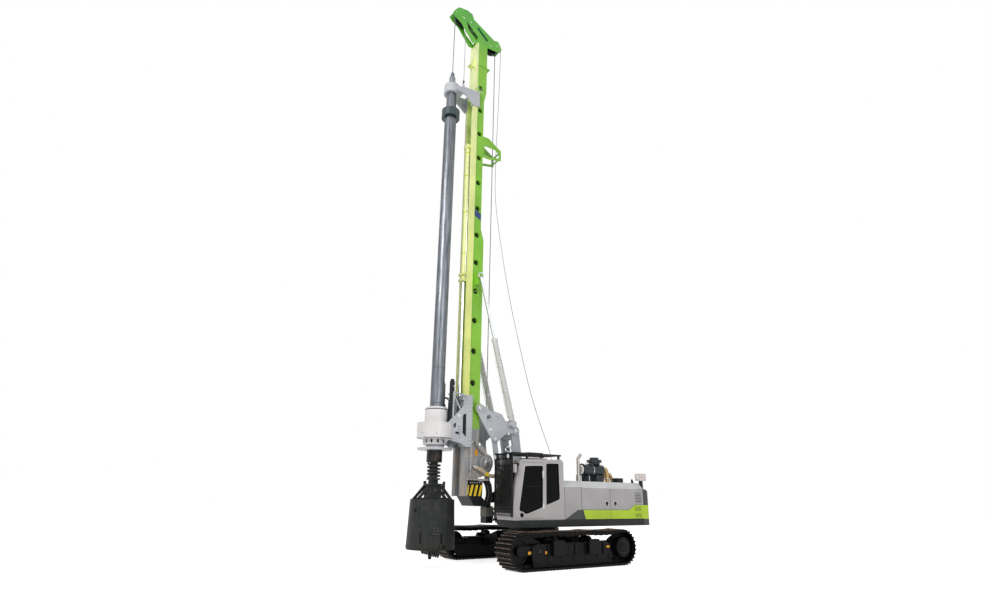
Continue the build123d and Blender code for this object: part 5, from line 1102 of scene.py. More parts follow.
def cab_inside():
    """Instrument panel, levers, pedals, consoles and the floor mat."""
    shape = Shape()
    shape.plate(((1.5, 1.3), (1.62, 1.3), (1.66, 1.85), (1.6, 1.92), (1.52, 1.88)), 0.85, 1.25)
    shape.plate(((1.5, 1.62), (1.505, 1.62), (1.515, 1.84), (1.51, 1.84)), 0.9, 1.2, 1)
    for y in (0.71, 1.375):
        shape.box((0.8, y - 0.055, 1.3), (1.2, y + 0.055, 1.78))
        shape.bar((1.12, y, 1.76), (1.14, y, 1.95), 0.012, 12, 1)
        shape.lathe(
            (1.135, y, 1.92), (0.05, 0, 1),
            ((0, 0.012), (0.02, 0.03), (0.07, 0.032), (0.1, 0.022), (0.11, 0)), 16
        )
        for k in range(4):
            shape.lathe(
                (0.86 + k * 0.06, y, 1.78), (0, 0, 1), ((0, 0.012), (0.012, 0.012), (0.015, 0)), 12, 2
            )
    for y in (0.95, 1.15):
        shape.plate(((1.5, 1.3), (1.58, 1.45), (1.57, 1.46), (1.48, 1.31)), y - 0.04, y + 0.04, 1)
        shape.tube(curve(((1.5, y, 1.3), (1.44, y, 1.5), (1.4, y, 1.7)), 5), 0.01, 10, 1)
    shape.box((0.25, 0.68, 1.278), (1.5, 1.41, 1.286), 1)
    shape.done("cab_controls", "upper", (CLOTH_GREY, DARK, ORANGE), 0.008)


# --- mast linkage ------------------------------------------------------------
def linkage_fittings():
    """Pin covers, keeper plates, wipers on the barrels, grease points and hose clips."""
    bracket = Shape()
    outer = 0.39
    for side in (-1, 1):
        out = (0, side, 0)
        for x, z, reach, radius in (
            (2.305, 4.313, 0.435, 0.06), (1.722, 3.444, 0.41, 0.05), (0.979, 3.742, 0.41, 0.05)
        ):
            face = side * (reach + 0.001)
            bracket.lathe(
                (x, face, z), out, ((-0.003, radius), (0.01, radius), (0.014, radius * 0.85), (0.014, 0)),
                24, 1
            )
            bracket.bolts((x, face + side * 0.013, z), out, radius * 0.6, 4, 0.014, slot=1)
        for place in ((1.55, 3.62), (1.40, 3.78), (1.62, 3.78), (1.85, 3.7), (2.05, 3.95), (1.75, 4.05)):
            bracket.bolt((place[0], side * outer, place[1]), out, 0.024, 1)
        bracket.box((1.86, side * outer, 3.68), (1.97, side * (outer + 0.004), 3.75), 2)
    bracket.done("bracket_bolts", "bracket_body", (PALE, BRIGHT, WHITE), 0.001)
    arm = Shape()
    foot, head = Vector((0.7, 0, 2.05)), Vector((0.979, 0, 3.742))
    along = (head - foot).normalized()
    for side in (-1, 1):
        out = (0, side, 0)
        face = 0.342
        for share in (0.22, 0.5, 0.78):
            spot = foot + along * (share * 1.715)
            arm.lathe(
                (spot.x, side * (face - 0.003), spot.z), out, ((0, 0.03), (0.01, 0.03), (0.012, 0)), 16, 1
            )
    arm.done("rear_arm_fittings", "rear_arm_body", (ARM_GREY, BRIGHT), 0.001)
    for name, body, foot, eye, length, radius, y in (
        ("mast_cylinder_glands", "mast_barrel_body", (1.172, 3.919), (2.45, 8.482), 2.56, 0.09, None),
        ("luff_cylinder_glands", "luff_barrel_body", (0.15, 1.45), (0.893, 3.23), 1.08, 0.085, 0.13),
    ):
        gland = Shape()
        line = Vector((eye[0] - foot[0], 0, eye[1] - foot[1])).normalized()
        offsets = (-0.13, 0.13) if y else MAST_CYLINDER_YS
        start = 0.12 if y is None else 0.115
        for side_y in offsets:
            origin = Vector((foot[0], side_y, foot[1]))
            end = origin + line * (start + length)
            gland.lathe(
                end - line * 0.12, line,
                (
                    (0, radius), (0, radius + 0.012), (0.1, radius + 0.012), (0.12, radius * 0.9),
                    (0.12, 0.056)
                ),
                28
            )
            gland.bolts(end - line * 0.001, line, radius * 0.8, 8, 0.014, slot=1)
            low = origin + line * (start + 0.12)
            gland.lathe(
                low, line, ((-0.02, radius), (-0.02, radius + 0.01), (0.03, radius + 0.01), (0.03, radius)),
                28
            )
            gland.bar(
                low + Vector((0.0, 0, 0)) + directions(line)[2] * radius * 0.9,
                low + directions(line)[2] * (radius + 0.05), 0.018, 12, 1
            )
            pipe = [
                low + directions(line)[2] * (radius + 0.045),
                low + directions(line)[2] * (radius + 0.05) + line * 0.05,
                end + directions(line)[2] * (radius + 0.05) - line * 0.2,
                end + directions(line)[2] * (radius + 0.01) - line * 0.14
            ]
            gland.tube(pipe, 0.012, 10, 1)
            for share in (0.3, 0.6):
                spot = low + line * (length * share)
                gland.lathe(
                    spot, line, ((0, radius), (0, radius + 0.008), (0.03, radius + 0.008), (0.03, radius)),
                    28, 1
                )
        gland.done(name, body, (SAND, BRIGHT) if y is None else (DARK, BRIGHT), 0.0)


# --- mast --------------------------------------------------------------------
def mast_fittings():
    """Painted shade discs in the side holes with their rims, collar bolts, a blank plate and wear strips."""
    shape = Shape()
    for side in (-1, 1):
        out = (0, side, 0)
        for i in range(12):
            z = 5.06 + i * 0.985
            # painted shade: a dark disc inside each side hole
            shape.lathe((2.484, side * 0.1605, z), out, ((0, 0.094), (0.002, 0.094), (0.002, 0)), 32, 1)
            shape.ring((2.484, side * 0.2495, z), out, 0.112, 0.096, 0.005, 32)
    shape.done("mast_hole_rims_and_shade_discs", "mast", (LIME, HOLE), 0.0)
    plate = Shape()
    plate.plate(((2.35, 10.56), (2.60, 10.68), (2.60, 10.93), (2.35, 10.81)), 0.25, 0.254)
    plate.done("blank_mast_plate", "mast", BLUE, 0.001)
    seams = Shape()
    for z, rear in ((8.0, 2.225), (12.2, 2.34)):
        for side in (-1, 1):
            seams.box((rear, side * 0.2495, z), (2.605, side * 0.2535, z + 0.02))
    for side in (-1, 1):
        for k in range(6):
            seams.bolt((2.30 + k * 0.065, side * 0.27, 15.85), (0, side, 0), 0.022, 1)
            seams.bolt((2.36 + k * 0.045, side * 0.25, 15.73), (0, side, 0), 0.022, 1)
        for k in range(10):
            seams.bolt((2.30, side * 0.2505, 3.9 + k * 0.07), (0, side, 0), 0.018, 1)
    seams.done("mast_joint_bolts", "mast", (LIME, BRIGHT), 0.0)
    head = Shape()
    for side in (-1, 1):
        out = (0, side, 0)
        for x, z, radius in (
            (3.259, 18.79, 0.075), (2.02, 18.15, 0.075), (2.914, 18.79, 0.055), (1.73, 18.29, 0.055)
        ):
            head.lathe(
                (x, side * 0.139, z), out,
                ((0, radius), (0.012, radius), (0.016, radius * 0.8), (0.016, 0)), 28
            )
            head.bolts((x, side * 0.154, z), out, radius * 0.6, 6, 0.014, slot=1)
        for x, z in (
            (3.55, 18.93), (3.3, 19.15), (3.0, 19.2), (1.62, 18.45), (1.6, 18.2), (2.5, 18.0), (2.75, 18.0)
        ):
            head.bolt((x, side * 0.1405, z), out, 0.024, 1)
    head.done("mast_head_pins", "mast", (LIME_HEAD, BRIGHT), 0.0)
    crowd = Shape()
    for z in (9.3, 10.8, 12.2, 13.1):
        crowd.ring((2.79, 0, z), (0, 0, 1), 0.093, 0.084, 0.05, 32)
    crowd.bolts((2.79, 0, 8.33), (0, 0, -1), 0.068, 8, 0.014, slot=1)
    for z in (8.375, 8.585):
        for side in (-1, 1):
            crowd.bolt((2.8, side * 0.14, z), (0, side, 0), 0.024, 1)
    crowd.tube(
        ((2.79, 0.088, 13.0), (2.79, 0.105, 12.95), (2.79, 0.105, 8.5), (2.79, 0.088, 8.45)), 0.012, 10, 1
    )
    # the clamps take the paler lime of the lit front face, a painted highlight
    crowd.done("crowd_cylinder_clamps", "mast", (LIME_LIT_FRONT, BRIGHT), 0.0)
    plates = Shape()
    top = ((2.262, 13.53), (2.262, 13.80), (2.095, 13.80), (1.66, 13.505), (1.66, 13.41), (1.80, 13.53))
    for y in BASKET_YS:
        plates.plate(top, y - 0.003, y + 0.003)
    plates.done("basket_plates", "mast", LIME, 0.001)
    # painted shade: dark green plates inside the head, seen through the slots
    backs = Shape()
    for side in (-1, 1):
        backs.plate(slot_points(2.4, 18.51, 0.618, 0.128, 41), side * 0.124, side * 0.121)
    backs.done("head_slot_shade_plates", "mast", HEAD_SHADE, 0.0)


def lower_mast_fittings():
    """Winch case bolts, blank orange plate, striped foot, hose sleeve and clamps."""
    winch = Shape()
    out = (0, 1, 0)
    winch.ring((1.99, CASE_YS[0] - 0.001, 2.76), out, 0.258, 0.225, 0.006, 48, 1)
    winch.bolts((1.99, CASE_YS[0] + 0.001, 2.76), out, 0.242, 20, 0.012, slot=1)
    winch.ring((1.99, CASE_YS[1] - 0.001, 2.76), out, 0.145, 0.11, 0.006, 40, 1)
    winch.bolts((1.99, CASE_YS[1], 2.76), out, 0.125, 12, 0.018, slot=1)
    winch.lathe(
        (1.99, CASE_YS[2] - 0.001, 2.76), out, ((0, 0.075), (0.012, 0.075), (0.018, 0.06), (0.018, 0)), 28,
        1
    )
    winch.ring((1.99, -LOWER_Y + 0.001, 2.76), (0, -1, 0), 0.17, 0.09, 0.02, 40)
    winch.bolts((1.99, -LOWER_Y - 0.019, 2.76), (0, -1, 0), 0.13, 12, 0.02, slot=1)
    winch.done("winch_case_bolts", "mast", (WINCH_GREY, BRIGHT), 0.0)
    plates = Shape()
    side_y = LOWER_Y
    plates.box((2.257, side_y, 2.94), (2.36, side_y + 0.004, 3.12))
    plates.done("blank_orange_plate", "mast", ORANGE, 0.001)
    foot = Shape()
    half = 0.33
    for side in (-1, 1):
        y = side * (half + 0.0005)
        for k in range(3):
            x = 2.185 + k * 0.15
            outline = ((x, 1.835), (x + 0.075, 1.835), (x, 2.135), (x - 0.075, 2.135))
            foot.plate(outline, y, y + side * 0.002)
    foot.done("foot_stripes", "mast", YELLOW, 0.0)
    for_front = Shape()
    for k in range(6):
        y = -0.3 + k * 0.11
        points = [
            (2.5765, y, 1.86), (2.5765, y + 0.055, 1.86), (2.5765, y + 0.1, 2.12), (2.5765, y + 0.045, 2.12)
        ]
        back = [(2.5745, b, c) for _, b, c in points]
        for_front.add(back + points, side_faces(4, 2) + caps(4, 2))
    for_front.done("foot_front_stripes", "mast", YELLOW, 0.0)
    case = Shape()
    case.box((1.622, -0.158, 1.28), (1.858, 0.158, 1.53))
    for z in (1.33, 1.48):
        for x in (1.66, 1.82):
            case.bolt((x, 0.158, z), (0, 1, 0), 0.02, 1)
    case.done("foot_box_cover", "mast", (BRONZE, BRIGHT), 0.006)
    band = Shape()
    band.box((2.11, -0.326, 2.141), (2.57, 0.326, 2.235))
    for side in (-1, 1):
        for k in range(6):
            band.bolt((2.14 + k * 0.075, side * 0.326, 2.19), (0, side, 0), 0.026, 1)
    band.done("foot_band", "mast", (DARK, BRIGHT), 0.004)
    flange = Shape()
    for side in (-1, 1):
        for k in range(7):
            flange.bolt((1.93 + k * 0.11, side * 0.3, FOOT_FLANGE_TOP), (0, 0, 1), 0.028)
            flange.bolt((1.93 + k * 0.11, side * 0.3, FOOT_FLANGE_TOP - 0.041), (0, 0, -1), 0.024)
    flange.done("foot_flange_bolts", "mast", BRIGHT, 0.0)
    sleeve = Shape()
    route = curve(
        (
            (2.37, LOWER_Y + 0.075, 2.62), (2.2, LOWER_Y + 0.09, 2.55), (1.95, LOWER_Y + 0.1, 2.42),
            (1.75, LOWER_Y + 0.09, 2.39), (1.53, LOWER_Y + 0.07, 2.47)
        ),
        8
    )
    sleeve.tube(route, 0.055, 16)
    sleeve.tube(route[13:17], 0.062, 16, 1)
    sleeve.lathe(
        route[0], route[0] - route[1], ((-0.02, 0.045), (0.05, 0.045), (0.05, 0.03), (0.09, 0.03)), 16, 2
    )
    sleeve.lathe(
        route[-1], route[-1] - route[-2], ((-0.02, 0.045), (0.05, 0.045), (0.05, 0.03), (0.09, 0.03)), 16, 2
    )
    sleeve.done("hose_sleeve", "mast", (SLEEVE, YELLOW, BRIGHT), 0.0)
    pipe = Shape()
    pipe.tube(
        curve(
            (
                (2.40, LOWER_Y + 0.03, 3.32), (2.28, LOWER_Y + 0.04, 3.16), (2.13, LOWER_Y + 0.045, 3.03),
                (2.04, LOWER_Y + 0.04, 2.98)
            ),
            6
        ),
        0.022, 12
    )
    pipe.tube(
        curve(
            (
                (2.5, LOWER_Y + 0.02, 2.35), (2.5, LOWER_Y + 0.03, 2.8), (2.52, LOWER_Y + 0.03, 3.3),
                (2.52, LOWER_Y + 0.02, 3.6)
            ),
            6
        ),
        0.014, 12, 1
    )
    for z in (2.5, 2.9, 3.3):
        pipe.box((2.46, 0.2495, z), (2.56, LOWER_Y + 0.046, z + 0.04), 1)
    pipe.done("lower_mast_pipes", "mast", (BRONZE, BRIGHT), 0.0)


def slot_points(x, z, length, width, lean, steps=10):
    """The outline of a slot with round ends, turned by its lean in degrees."""
    turn, radius, reach = math.radians(lean), width / 2, (length - width) / 2
    points = []
    for end, start in ((1, -90), (-1, 90)):
        for k in range(steps + 1):
            angle = math.radians(start + 180 * k / steps)
            u = end * reach + radius * math.cos(angle)
            v = radius * math.sin(angle)
            points.append(
                (x + u * math.cos(turn) - v * math.sin(turn), z + u * math.sin(turn) + v * math.cos(turn))
            )
    return points


# --- carriage and drive ------------------------------------------------------
def carriage_fittings():
    """Bolt columns, a blank plate, case joints, flange rims and motor caps, with painted shade in the side
    openings and the neck slots.
    """
    side = Shape()
    for hand in (-1, 1):
        out = (0, hand, 0)
        y = hand * CARRIAGE_Y
        for k in range(5):
            side.bolt((2.66, y, 4.1 + k * 0.1), out, 0.034)
        for k in range(4):
            side.bolt((2.74, y, 4.1 + k * 0.1), out, 0.034)
        for k in range(5):
            side.bolt((2.66, y, 3.25 + k * 0.11), out, 0.03)
        for x, z in ((3.2, 3.45), (3.32, 3.45), (3.2, 3.57), (3.05, 3.4), (3.38, 3.6)):
            side.bolt((x, y, z), out, 0.026)
        side.box((2.99, y, 3.98), (3.08, y + hand * 0.004, 4.06), 1)
        side.box((3.02, y, 3.5), (3.14, y + hand * 0.004, 3.56), 2)
        for x in (2.99, 3.04, 3.33, 3.38):
            for k in range(5):
                side.bolt((x, y, 3.40 + k * 0.075), out, 0.017, 2)
        # painted shade: a dark plate just inside the opening in each side
        shade = ((2.785, 3.436), (2.895, 3.546), (2.9, 4.012), (2.864, 4.072), (2.792, 4.08))
        side.plate(shade, y - hand * 0.028, y - hand * 0.022, 3)
    side.done("carriage_bolts", "carriage", (BRIGHT, WHITE, DARK, HOLE), 0.0)
    gear = Shape()
    for z, radius in ((3.777, 0.53), (3.58, 0.53), (3.382, 0.53)):
        gear.ring((KELLY_X, 0, z - 0.012), (0, 0, 1), radius + 0.004, radius - 0.02, 0.024, 72)
    gear.bolts((KELLY_X, 0, 3.777), (0, 0, 1), 0.49, 36, 0.028, slot=1)
    gear.bolts((KELLY_X, 0, 3.382), (0, 0, -1), 0.49, 30, 0.026, slot=1)
    gear.ring((KELLY_X, 0, 4.165), (0, 0, 1), GEAR_TIER + 0.004, GEAR_TIER - 0.05, 0.02, 72, 2)
    gear.bolts((KELLY_X, 0, 4.184), (0, 0, 1), GEAR_TIER - 0.022, 24, 0.02, slot=1)
    gear.ring((KELLY_X, 0, 3.95), (0, 0, 1), GEAR_TIER + 0.003, GEAR_TIER - 0.02, 0.012, 72)
    for turn in (20, 65, 110, 155, 250, 300):
        a = math.radians(turn)
        spot = (KELLY_X + 0.531 * math.cos(a), 0.531 * math.sin(a), 3.48)
        gear.lathe(spot, (math.cos(a), math.sin(a), 0), ((-0.006, 0.022), (0.012, 0.022), (0.014, 0)), 12, 1)
    gear.done("gearbox_joints", "carriage", (GEAR, BRIGHT, DARK), 0.0)
    slots = Shape()
    for k in range(12):
        a = 2 * math.pi * (k + 0.5) / 12
        out = Vector((math.cos(a), math.sin(a), 0))
        across = Vector((-out.y, out.x, 0))
        spot = Vector((KELLY_X, 0, 3.28)) + out * (NECK_RADIUS - 0.024)
        corners = [
            spot + across * s * 0.027 + Vector((0, 0, h)) for s,
            h in ((-1, -0.05), (1, -0.05), (1, 0.05), (-1, 0.05))
        ]
        slots.add([c - out * 0.004 for c in corners] + corners, side_faces(4, 2) + caps(4, 2))
    slots.done("neck_slot_shadows", "carriage", HOLE, 0.0)
    flange = Shape()
    flange.ring((KELLY_X, 0, 3.09), (0, 0, 1), 0.492, 0.47, 0.01, 72)
    flange.ring((KELLY_X, 0, 3.044), (0, 0, 1), 0.492, 0.3, 0.004, 72)
    flange.done("drive_flange_rims", "drive_sleeve_body", WHITE, 0.0)
    motors = Shape()
    for hand in (-1, 1):
        a = math.radians(180 + hand * 40)
        x, y = KELLY_X + 0.432 * math.cos(a), 0.432 * math.sin(a)
        motors.ring((x, y, 3.9), (0, 0, 1), 0.112, 0.09, 0.03, 36)
        motors.bolts((x, y, 4.4), (0, 0, 1), 0.086, 8, 0.018, slot=1)
        motors.box((x - 0.05, y - 0.04, 4.55), (x + 0.05, y + 0.04, 4.72))
        motors.lathe(
            (x, y + hand * -0.074, 4.86), (0, -hand, 0),
            ((-0.01, 0.022), (0.03, 0.022), (0.03, 0.016), (0.05, 0.016)), 14, 1
        )
        motors.lathe(
            (x + 0.07, y, 4.62), (1, 0, 0), ((-0.01, 0.022), (0.03, 0.022), (0.03, 0.016), (0.05, 0.016)),
            14, 1
        )
        for k in range(5):
            motors.ring((x, y, 4.02 + k * 0.06), (0, 0, 1), 0.106, 0.098, 0.014, 36)
    motors.done("motor_fittings", "carriage", (DARK, BRIGHT), 0.001)


# --- kelly and bucket --------------------------------------------------------
def kelly_fittings():
    """Guide bolts, collar bolts, stop rings and the trim on the swivel."""
    guide = Shape()
    for hand in (-1, 1):
        out = (0, hand, 0)
        y = hand * GUIDE_Y
        for x, z in ((2.64, 15.1), (2.72, 15.1), (2.64, 15.5), (2.72, 15.5), (2.8, 15.3)):
            guide.bolt((x, y, z), out, 0.03, 1)
    guide.ring((KELLY_X, 0, 15.603), (0, 0, 1), 0.27, 0.235, 0.008, 56)
    guide.bolts((KELLY_X, 0, 15.6), (0, 0, 1), 0.252, 16, 0.02, start=0.1, slot=1)
    guide.done("guide_bolts", "guide", (PALE, BRIGHT), 0.0)
    tube = Shape()
    for z in (14.265, 14.4, 14.544):
        tube.ring((KELLY_X, 0, z - 0.008), (0, 0, 1), 0.314, 0.29, 0.016, 64)
    tube.bolts((KELLY_X, 0, 14.544), (0, 0, 1), 0.285, 18, 0.026, slot=1)
    for k in range(3):
        a = 2 * math.pi * k / 3
        for z in range(16):
            out = Vector((math.cos(a), math.sin(a), 0))
            spot = Vector((KELLY_X, 0, 4.9 + z * 0.58)) + out * 0.2098
            tube.lathe(spot, out, ((-0.001, 0.012), (0.0015, 0.01), (0.0015, 0)), 8, 1)
    for z in (4.35, 5.4):
        tube.ring((KELLY_X, 0, z), (0, 0, 1), 0.203, 0.19, 0.02, 64)
    tube.done("kelly_collar_bolts", "kelly_outer", (KELLY_DARK, BRIGHT), 0.0)
    swivel = Shape()
    swivel.ring((KELLY_X, 0, 15.8), (0, 0, 1), 0.114, 0.1, 0.03, 40)
    swivel.ring((KELLY_X, 0, 15.9), (0, 0, 1), 0.114, 0.1, 0.02, 40)
    swivel.bolts((KELLY_X, 0, 15.99), (0, 0, 1), 0.09, 8, 0.016)
    swivel.bar((KELLY_X, -0.055, 16.2), (KELLY_X, 0.055, 16.2), 0.016, 14)
    swivel.done("swivel_trim", "guide", BRIGHT, 0.0)


def bucket_fittings():
    """Eye ring with its handle, rims, painted shade behind the openings and the frame's bolts."""
    shape = Shape()
    for z, radius in ((0.54, 0.664), (1.72, 0.61)):
        shape.ring((KELLY_X, 0, z - 0.012), (0, 0, 1), radius, radius - 0.02, 0.024, 72)
    shape.done("bucket_rims", "kelly_inner", BUCKET, 0.003)
    eye = Shape()
    a = math.radians(72)
    out = Vector((math.cos(a), math.sin(a), 0))
    across = Vector((-out.y, out.x, 0))
    middle = Vector((KELLY_X, 0, 0.98)) + out * 0.645
    ring = [
        middle + out * 0.03 + across * 0.05 * math.cos(t) + Vector((0, 0, 0.05 * math.sin(t)))
        for t in [2 * math.pi * k / 20 for k in range(21)]
    ]
    eye.tube(ring, 0.012, 10)
    handle = [
        middle - across * 0.1 - Vector((0, 0, 0.1)),
        middle + out * 0.07 - across * 0.1 - Vector((0, 0, 0.1)),
        middle + out * 0.07 + across * 0.1 - Vector((0, 0, 0.1)),
        middle + across * 0.1 - Vector((0, 0, 0.1))
    ]
    eye.tube(handle, 0.014, 10)
    eye.done("bucket_eye", "kelly_inner", DARK_STEEL, 0.0)
    hole = Shape()
    for turn, low, high, width in ((18, 1.39, 1.49, 0.05), (38, 0.64, 0.9, 0.025), (87, 0.64, 0.9, 0.025)):
        a = math.radians(turn)
        out = Vector((math.cos(a), math.sin(a), 0))
        across = Vector((-out.y, out.x, 0))
        reach = 0.626 - 0.045 * ((low + high) / 2 - 0.515)
        corners = [
            Vector((KELLY_X, 0, z)) + out * reach + across * s * width * 1.2 for s,
            z in ((-1, low - 0.02), (1, low - 0.02), (1, high + 0.02), (-1, high + 0.02))
        ]
        hole.add([c - out * 0.004 for c in corners] + corners, side_faces(4, 2) + caps(4, 2))
    hole.done("bucket_hole_shadows", "kelly_inner", HOLE, 0.0)
    frame_bolts = Shape()
    for hand in (-1, 1):
        y = hand * 0.15
        for x in (-0.47, -0.12, 0.12, 0.47):
            frame_bolts.bolt((KELLY_X + x, y, 1.752), (0, hand, 0), 0.024)
        frame_bolts.lathe(
            (KELLY_X, hand * 0.15, 1.96), (0, hand, 0),
            ((-0.003, 0.04), (0.02, 0.04), (0.025, 0.03), (0.025, 0)), 20
        )
    frame_bolts.done("bucket_frame_bolts", "kelly_inner", DARK_STEEL, 0.0)


# --- seat --------------------------------------------------------------------
def cushion(name, low, high, lean, seams, body):
    """A crowned pad with sewn channels, its back leaning by a slope in x per metre of height."""
    count = 14
    shape = Shape()
    middle = [(a + b) / 2 for a, b in zip(low, high)]
    half = [(b - a) / 2 for a, b in zip(low, high)]
    thin = half.index(min(half))
    wide = [i for i in range(3) if i != thin]

    def place(u, v, face):
        """A point of the pad's skin, with u and v from -1 to 1 across it."""
        spread = [0.0, 0.0, 0.0]
        pull = 0.06
        spread[wide[0]] = u * half[wide[0]] * (1 - pull * (1 - v * v) * u * u)
        spread[wide[1]] = v * half[wide[1]] * (1 - pull * (1 - u * u) * v * v)
        crown = (max(0.0, 1 - u**4) * max(0.0, 1 - v**4)) ** 0.35
        groove = 0.0
        for seam in seams:
            groove = max(groove, math.exp(-((v - seam) / 0.05) ** 2))
        spread[thin] = face * half[thin] * (0.28 + 0.72 * crown) * (1 - 0.22 * groove * crown)
        x, y, z = (middle[i] + spread[i] for i in range(3))
        return (x - lean * (z - low[2]), y, z)

    grid = [2 * i / count - 1 for i in range(count + 1)]
    top = [place(u, v, 1) for u in grid for v in grid]
    bottom = [place(u, v, -1) for u in grid for v in grid]
    row = count + 1
    faces = []
    for base in (0, row * row):
        for i in range(count):
            for j in range(count):
                a = base + i * row + j
                faces.append((a, a + 1, a + row + 1, a + row))
    edge = [i * row for i in range(row)] + [count * row + j for j in range(1, row)]
    edge += [(count - i) * row + count for i in range(1, row)] + [count - j for j in range(1, count)]
    for a, b in zip(edge, edge[1:] + edge[:1]):
        faces.append((a, b, b + row * row, a + row * row))
    shape.add(top + bottom, faces)
    piece = shape.done(name, body, CLOTH, 0.0, 80)
    return piece


def seat():
    """Cushion, backrest and headrest on a dark base with its armrests."""
    cushion("seat_cushion", (0.5, 0.80, 1.59), (1.05, 1.29, 1.70), 0, (-0.55, 0.55), "upper")
    cushion("seat_back", (0.45, 0.81, 1.68), (0.56, 1.28, 2.22), 0.13, (-0.5, 0.0, 0.5), "upper")
    cushion("seat_headrest", (0.44, 0.92, 2.23), (0.53, 1.17, 2.345), 0.13, (), "upper")
    base = Shape()
    base.box((0.61, 0.88, 1.28), (0.94, 1.22, 1.4))
    base.box((0.56, 0.84, 1.54), (1.0, 1.25, 1.595))
    for k in range(5):
        base.box(
            (0.63 + 0.004 * (k % 2), 0.9, 1.4 + k * 0.028), (0.92 - 0.004 * (k % 2), 1.2, 1.42 + k * 0.028)
        )
    for y in (0.8, 1.26):
        base.box((0.55, y, 1.9), (0.86, y + 0.035, 1.93))
        base.box((0.5, y + 0.005, 1.6), (0.53, y + 0.03, 1.92))
    base.plate(((0.45, 1.62), (0.47, 1.62), (0.40, 2.25), (0.38, 2.25)), 0.84, 1.25)
    piece = base.done("seat_base", "upper", (DARK,), 0.006)
    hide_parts("operator_seat")


# --- ropes and hoses ---------------------------------------------------------
def wrap(centre, radius, start, end, steps=14):
    """Places round a sheave in side view, between two angles in degrees."""
    places = []
    for i in range(steps + 1):
        angle = math.radians(start + (end - start) * i / steps)
        places.append((centre[0] + radius * math.cos(angle), centre[1] + radius * math.sin(angle)))
    return places


def rope_piece(name, places, radius, body=None):
    """A taut rope through places (x, y, z)."""
    shape = Shape()
    shape.tube(places, radius, 10)
    return shape.done(name, body, ROPE, 0.0, 60)


MAIN_ROPE_RADIUS = 0.014
THIN_ROPE_RADIUS = 0.009
THIN_ROPE_Y = 0.08
MAIN_SHEAVES = ((3.259, 18.79), (2.02, 18.15))  # axles of the head and the rear sheave, in side view
THIN_SHEAVES = ((2.914, 18.79), (1.73, 18.29))
MAIN_RUN = 0.282  # from the axle to the middle of the rope
THIN_RUN = 0.201
THIN_FRONT_X = 3.115
THIN_ROUTE = (  # from behind the mast down to the drum on the upper
    (1.67, 13.4), (1.65, 11.6), (1.33, 9.6), (0.98, 7.95), (0.55, 6.35),
    (0.18, 5.11), (-0.22, 4.08), (-0.60, 3.22), (-0.735, 2.62),
)


def rope_over_head(name, sheaves, run, y, radius):
    """The part of a rope that lies over the head and the rear sheave."""
    head, rear = sheaves
    slope = math.degrees(math.atan2(head[1] - rear[1], head[0] - rear[0])) + 90
    line = wrap(head, run, 0, slope) + wrap(rear, run, slope, 180)
    rope_piece(name, [(x, y, z) for x, z in line], radius, "mast")


def rope_on_drum(name, body, axle, reach, y_from, width, turns, sides, radius):
    """The turns of a rope side by side on its drum."""
    count = sides * turns
    coil = []
    for k in range(count):
        angle = 2 * math.pi * k / sides
        x, z = axle[0] + reach * math.cos(angle), axle[1] + reach * math.sin(angle)
        coil.append((x, y_from + width * k / count, z))
    rope_piece(name, coil, radius, body)


def main_rope():
    """The main rope, from the swivel over the head to its drum."""
    head, rear = MAIN_SHEAVES
    x = KELLY_X + 0.002
    drop = [(KELLY_X, 0, SWIVEL_TOP - 0.01)] + [(x, 0, SWIVEL_TOP + 0.2 + k * 0.4) for k in range(6)]
    drop += [(x, 0, 18.7), (head[0] + MAIN_RUN, 0, 18.79)]
    front = rope_piece("main_rope_front", drop, MAIN_ROPE_RADIUS)
    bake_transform(front)
    rope_over_head("main_rope_over_head", MAIN_SHEAVES, MAIN_RUN, 0, MAIN_ROPE_RADIUS)
    back = [(rear[0] - MAIN_RUN + 0.086 * k / 9, 0, rear[1] - 15.37 * k / 9) for k in range(10)]
    rope_piece("main_rope_back", back, MAIN_ROPE_RADIUS, "mast")
    rope_on_drum("main_rope_on_drum", "main_drum", (1.99, 2.76), 0.166, -0.13, 0.26, 7, 40, 0.0155)


def auxiliary_rope():
    """The thin rope, from its hook over the head and down to the drum on the upper."""
    x, y, thin = THIN_FRONT_X, THIN_ROPE_Y, THIN_ROPE_RADIUS
    rope_over_head("auxiliary_rope_over_head", THIN_SHEAVES, THIN_RUN, y, thin)
    rope_piece("auxiliary_rope_front", [(x, y, 18.79), (x, y, 17.4), (x, y, 16.05)], thin, "mast")
    top = [(1.529, y, 18.29), (1.56, y, 16.6), (1.63, y, 14.6), (1.67, y, 13.4)]
    rope_piece("auxiliary_rope_top", top, thin, "mast")
    hook = Shape()
    hook.lathe((x, y, 15.93), (0, 0, 1), ((0, 0.012), (0.01, 0.03), (0.1, 0.03), (0.125, 0.012)), 20)
    bend = [k * 0.42 for k in range(12)]
    bow = [(x + 0.042 * math.sin(t), y, 15.873 + 0.047 * math.cos(t)) for t in bend]
    hook.tube([(x, y, 15.93)] + bow, 0.012, 12)
    hook.done("auxiliary_hook", "mast", DARK_STEEL, 0.0)
    places = curve([(rope_x, y, rope_z) for rope_x, rope_z in THIN_ROUTE], 6)
    runs = (
        ("upper", 8.0, 99.0, "mast", "bracket_body", (1.6, 11.5), (0.95, 8.1)),
        ("middle", 4.3, 8.4, "bracket_body", "rear_arm_body", (0.9, 7.9), (0.1, 4.8)),
        ("lower", -99.0, 4.7, "rear_arm_body", "upper", (0.0, 4.5), (-0.7, 2.7)),
    )
    for part, low, high, first, second, start, end in runs:
        run = rope_piece(f"auxiliary_rope_{part}_run", [p for p in places if low <= p[2] <= high], thin)
        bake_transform(run)
    drum_y = y - 0.17
    rope_on_drum("auxiliary_rope_on_drum", "auxiliary_drum", (-0.7, 2.5), 0.11, drum_y, 0.34, 9, 32, 0.0095)


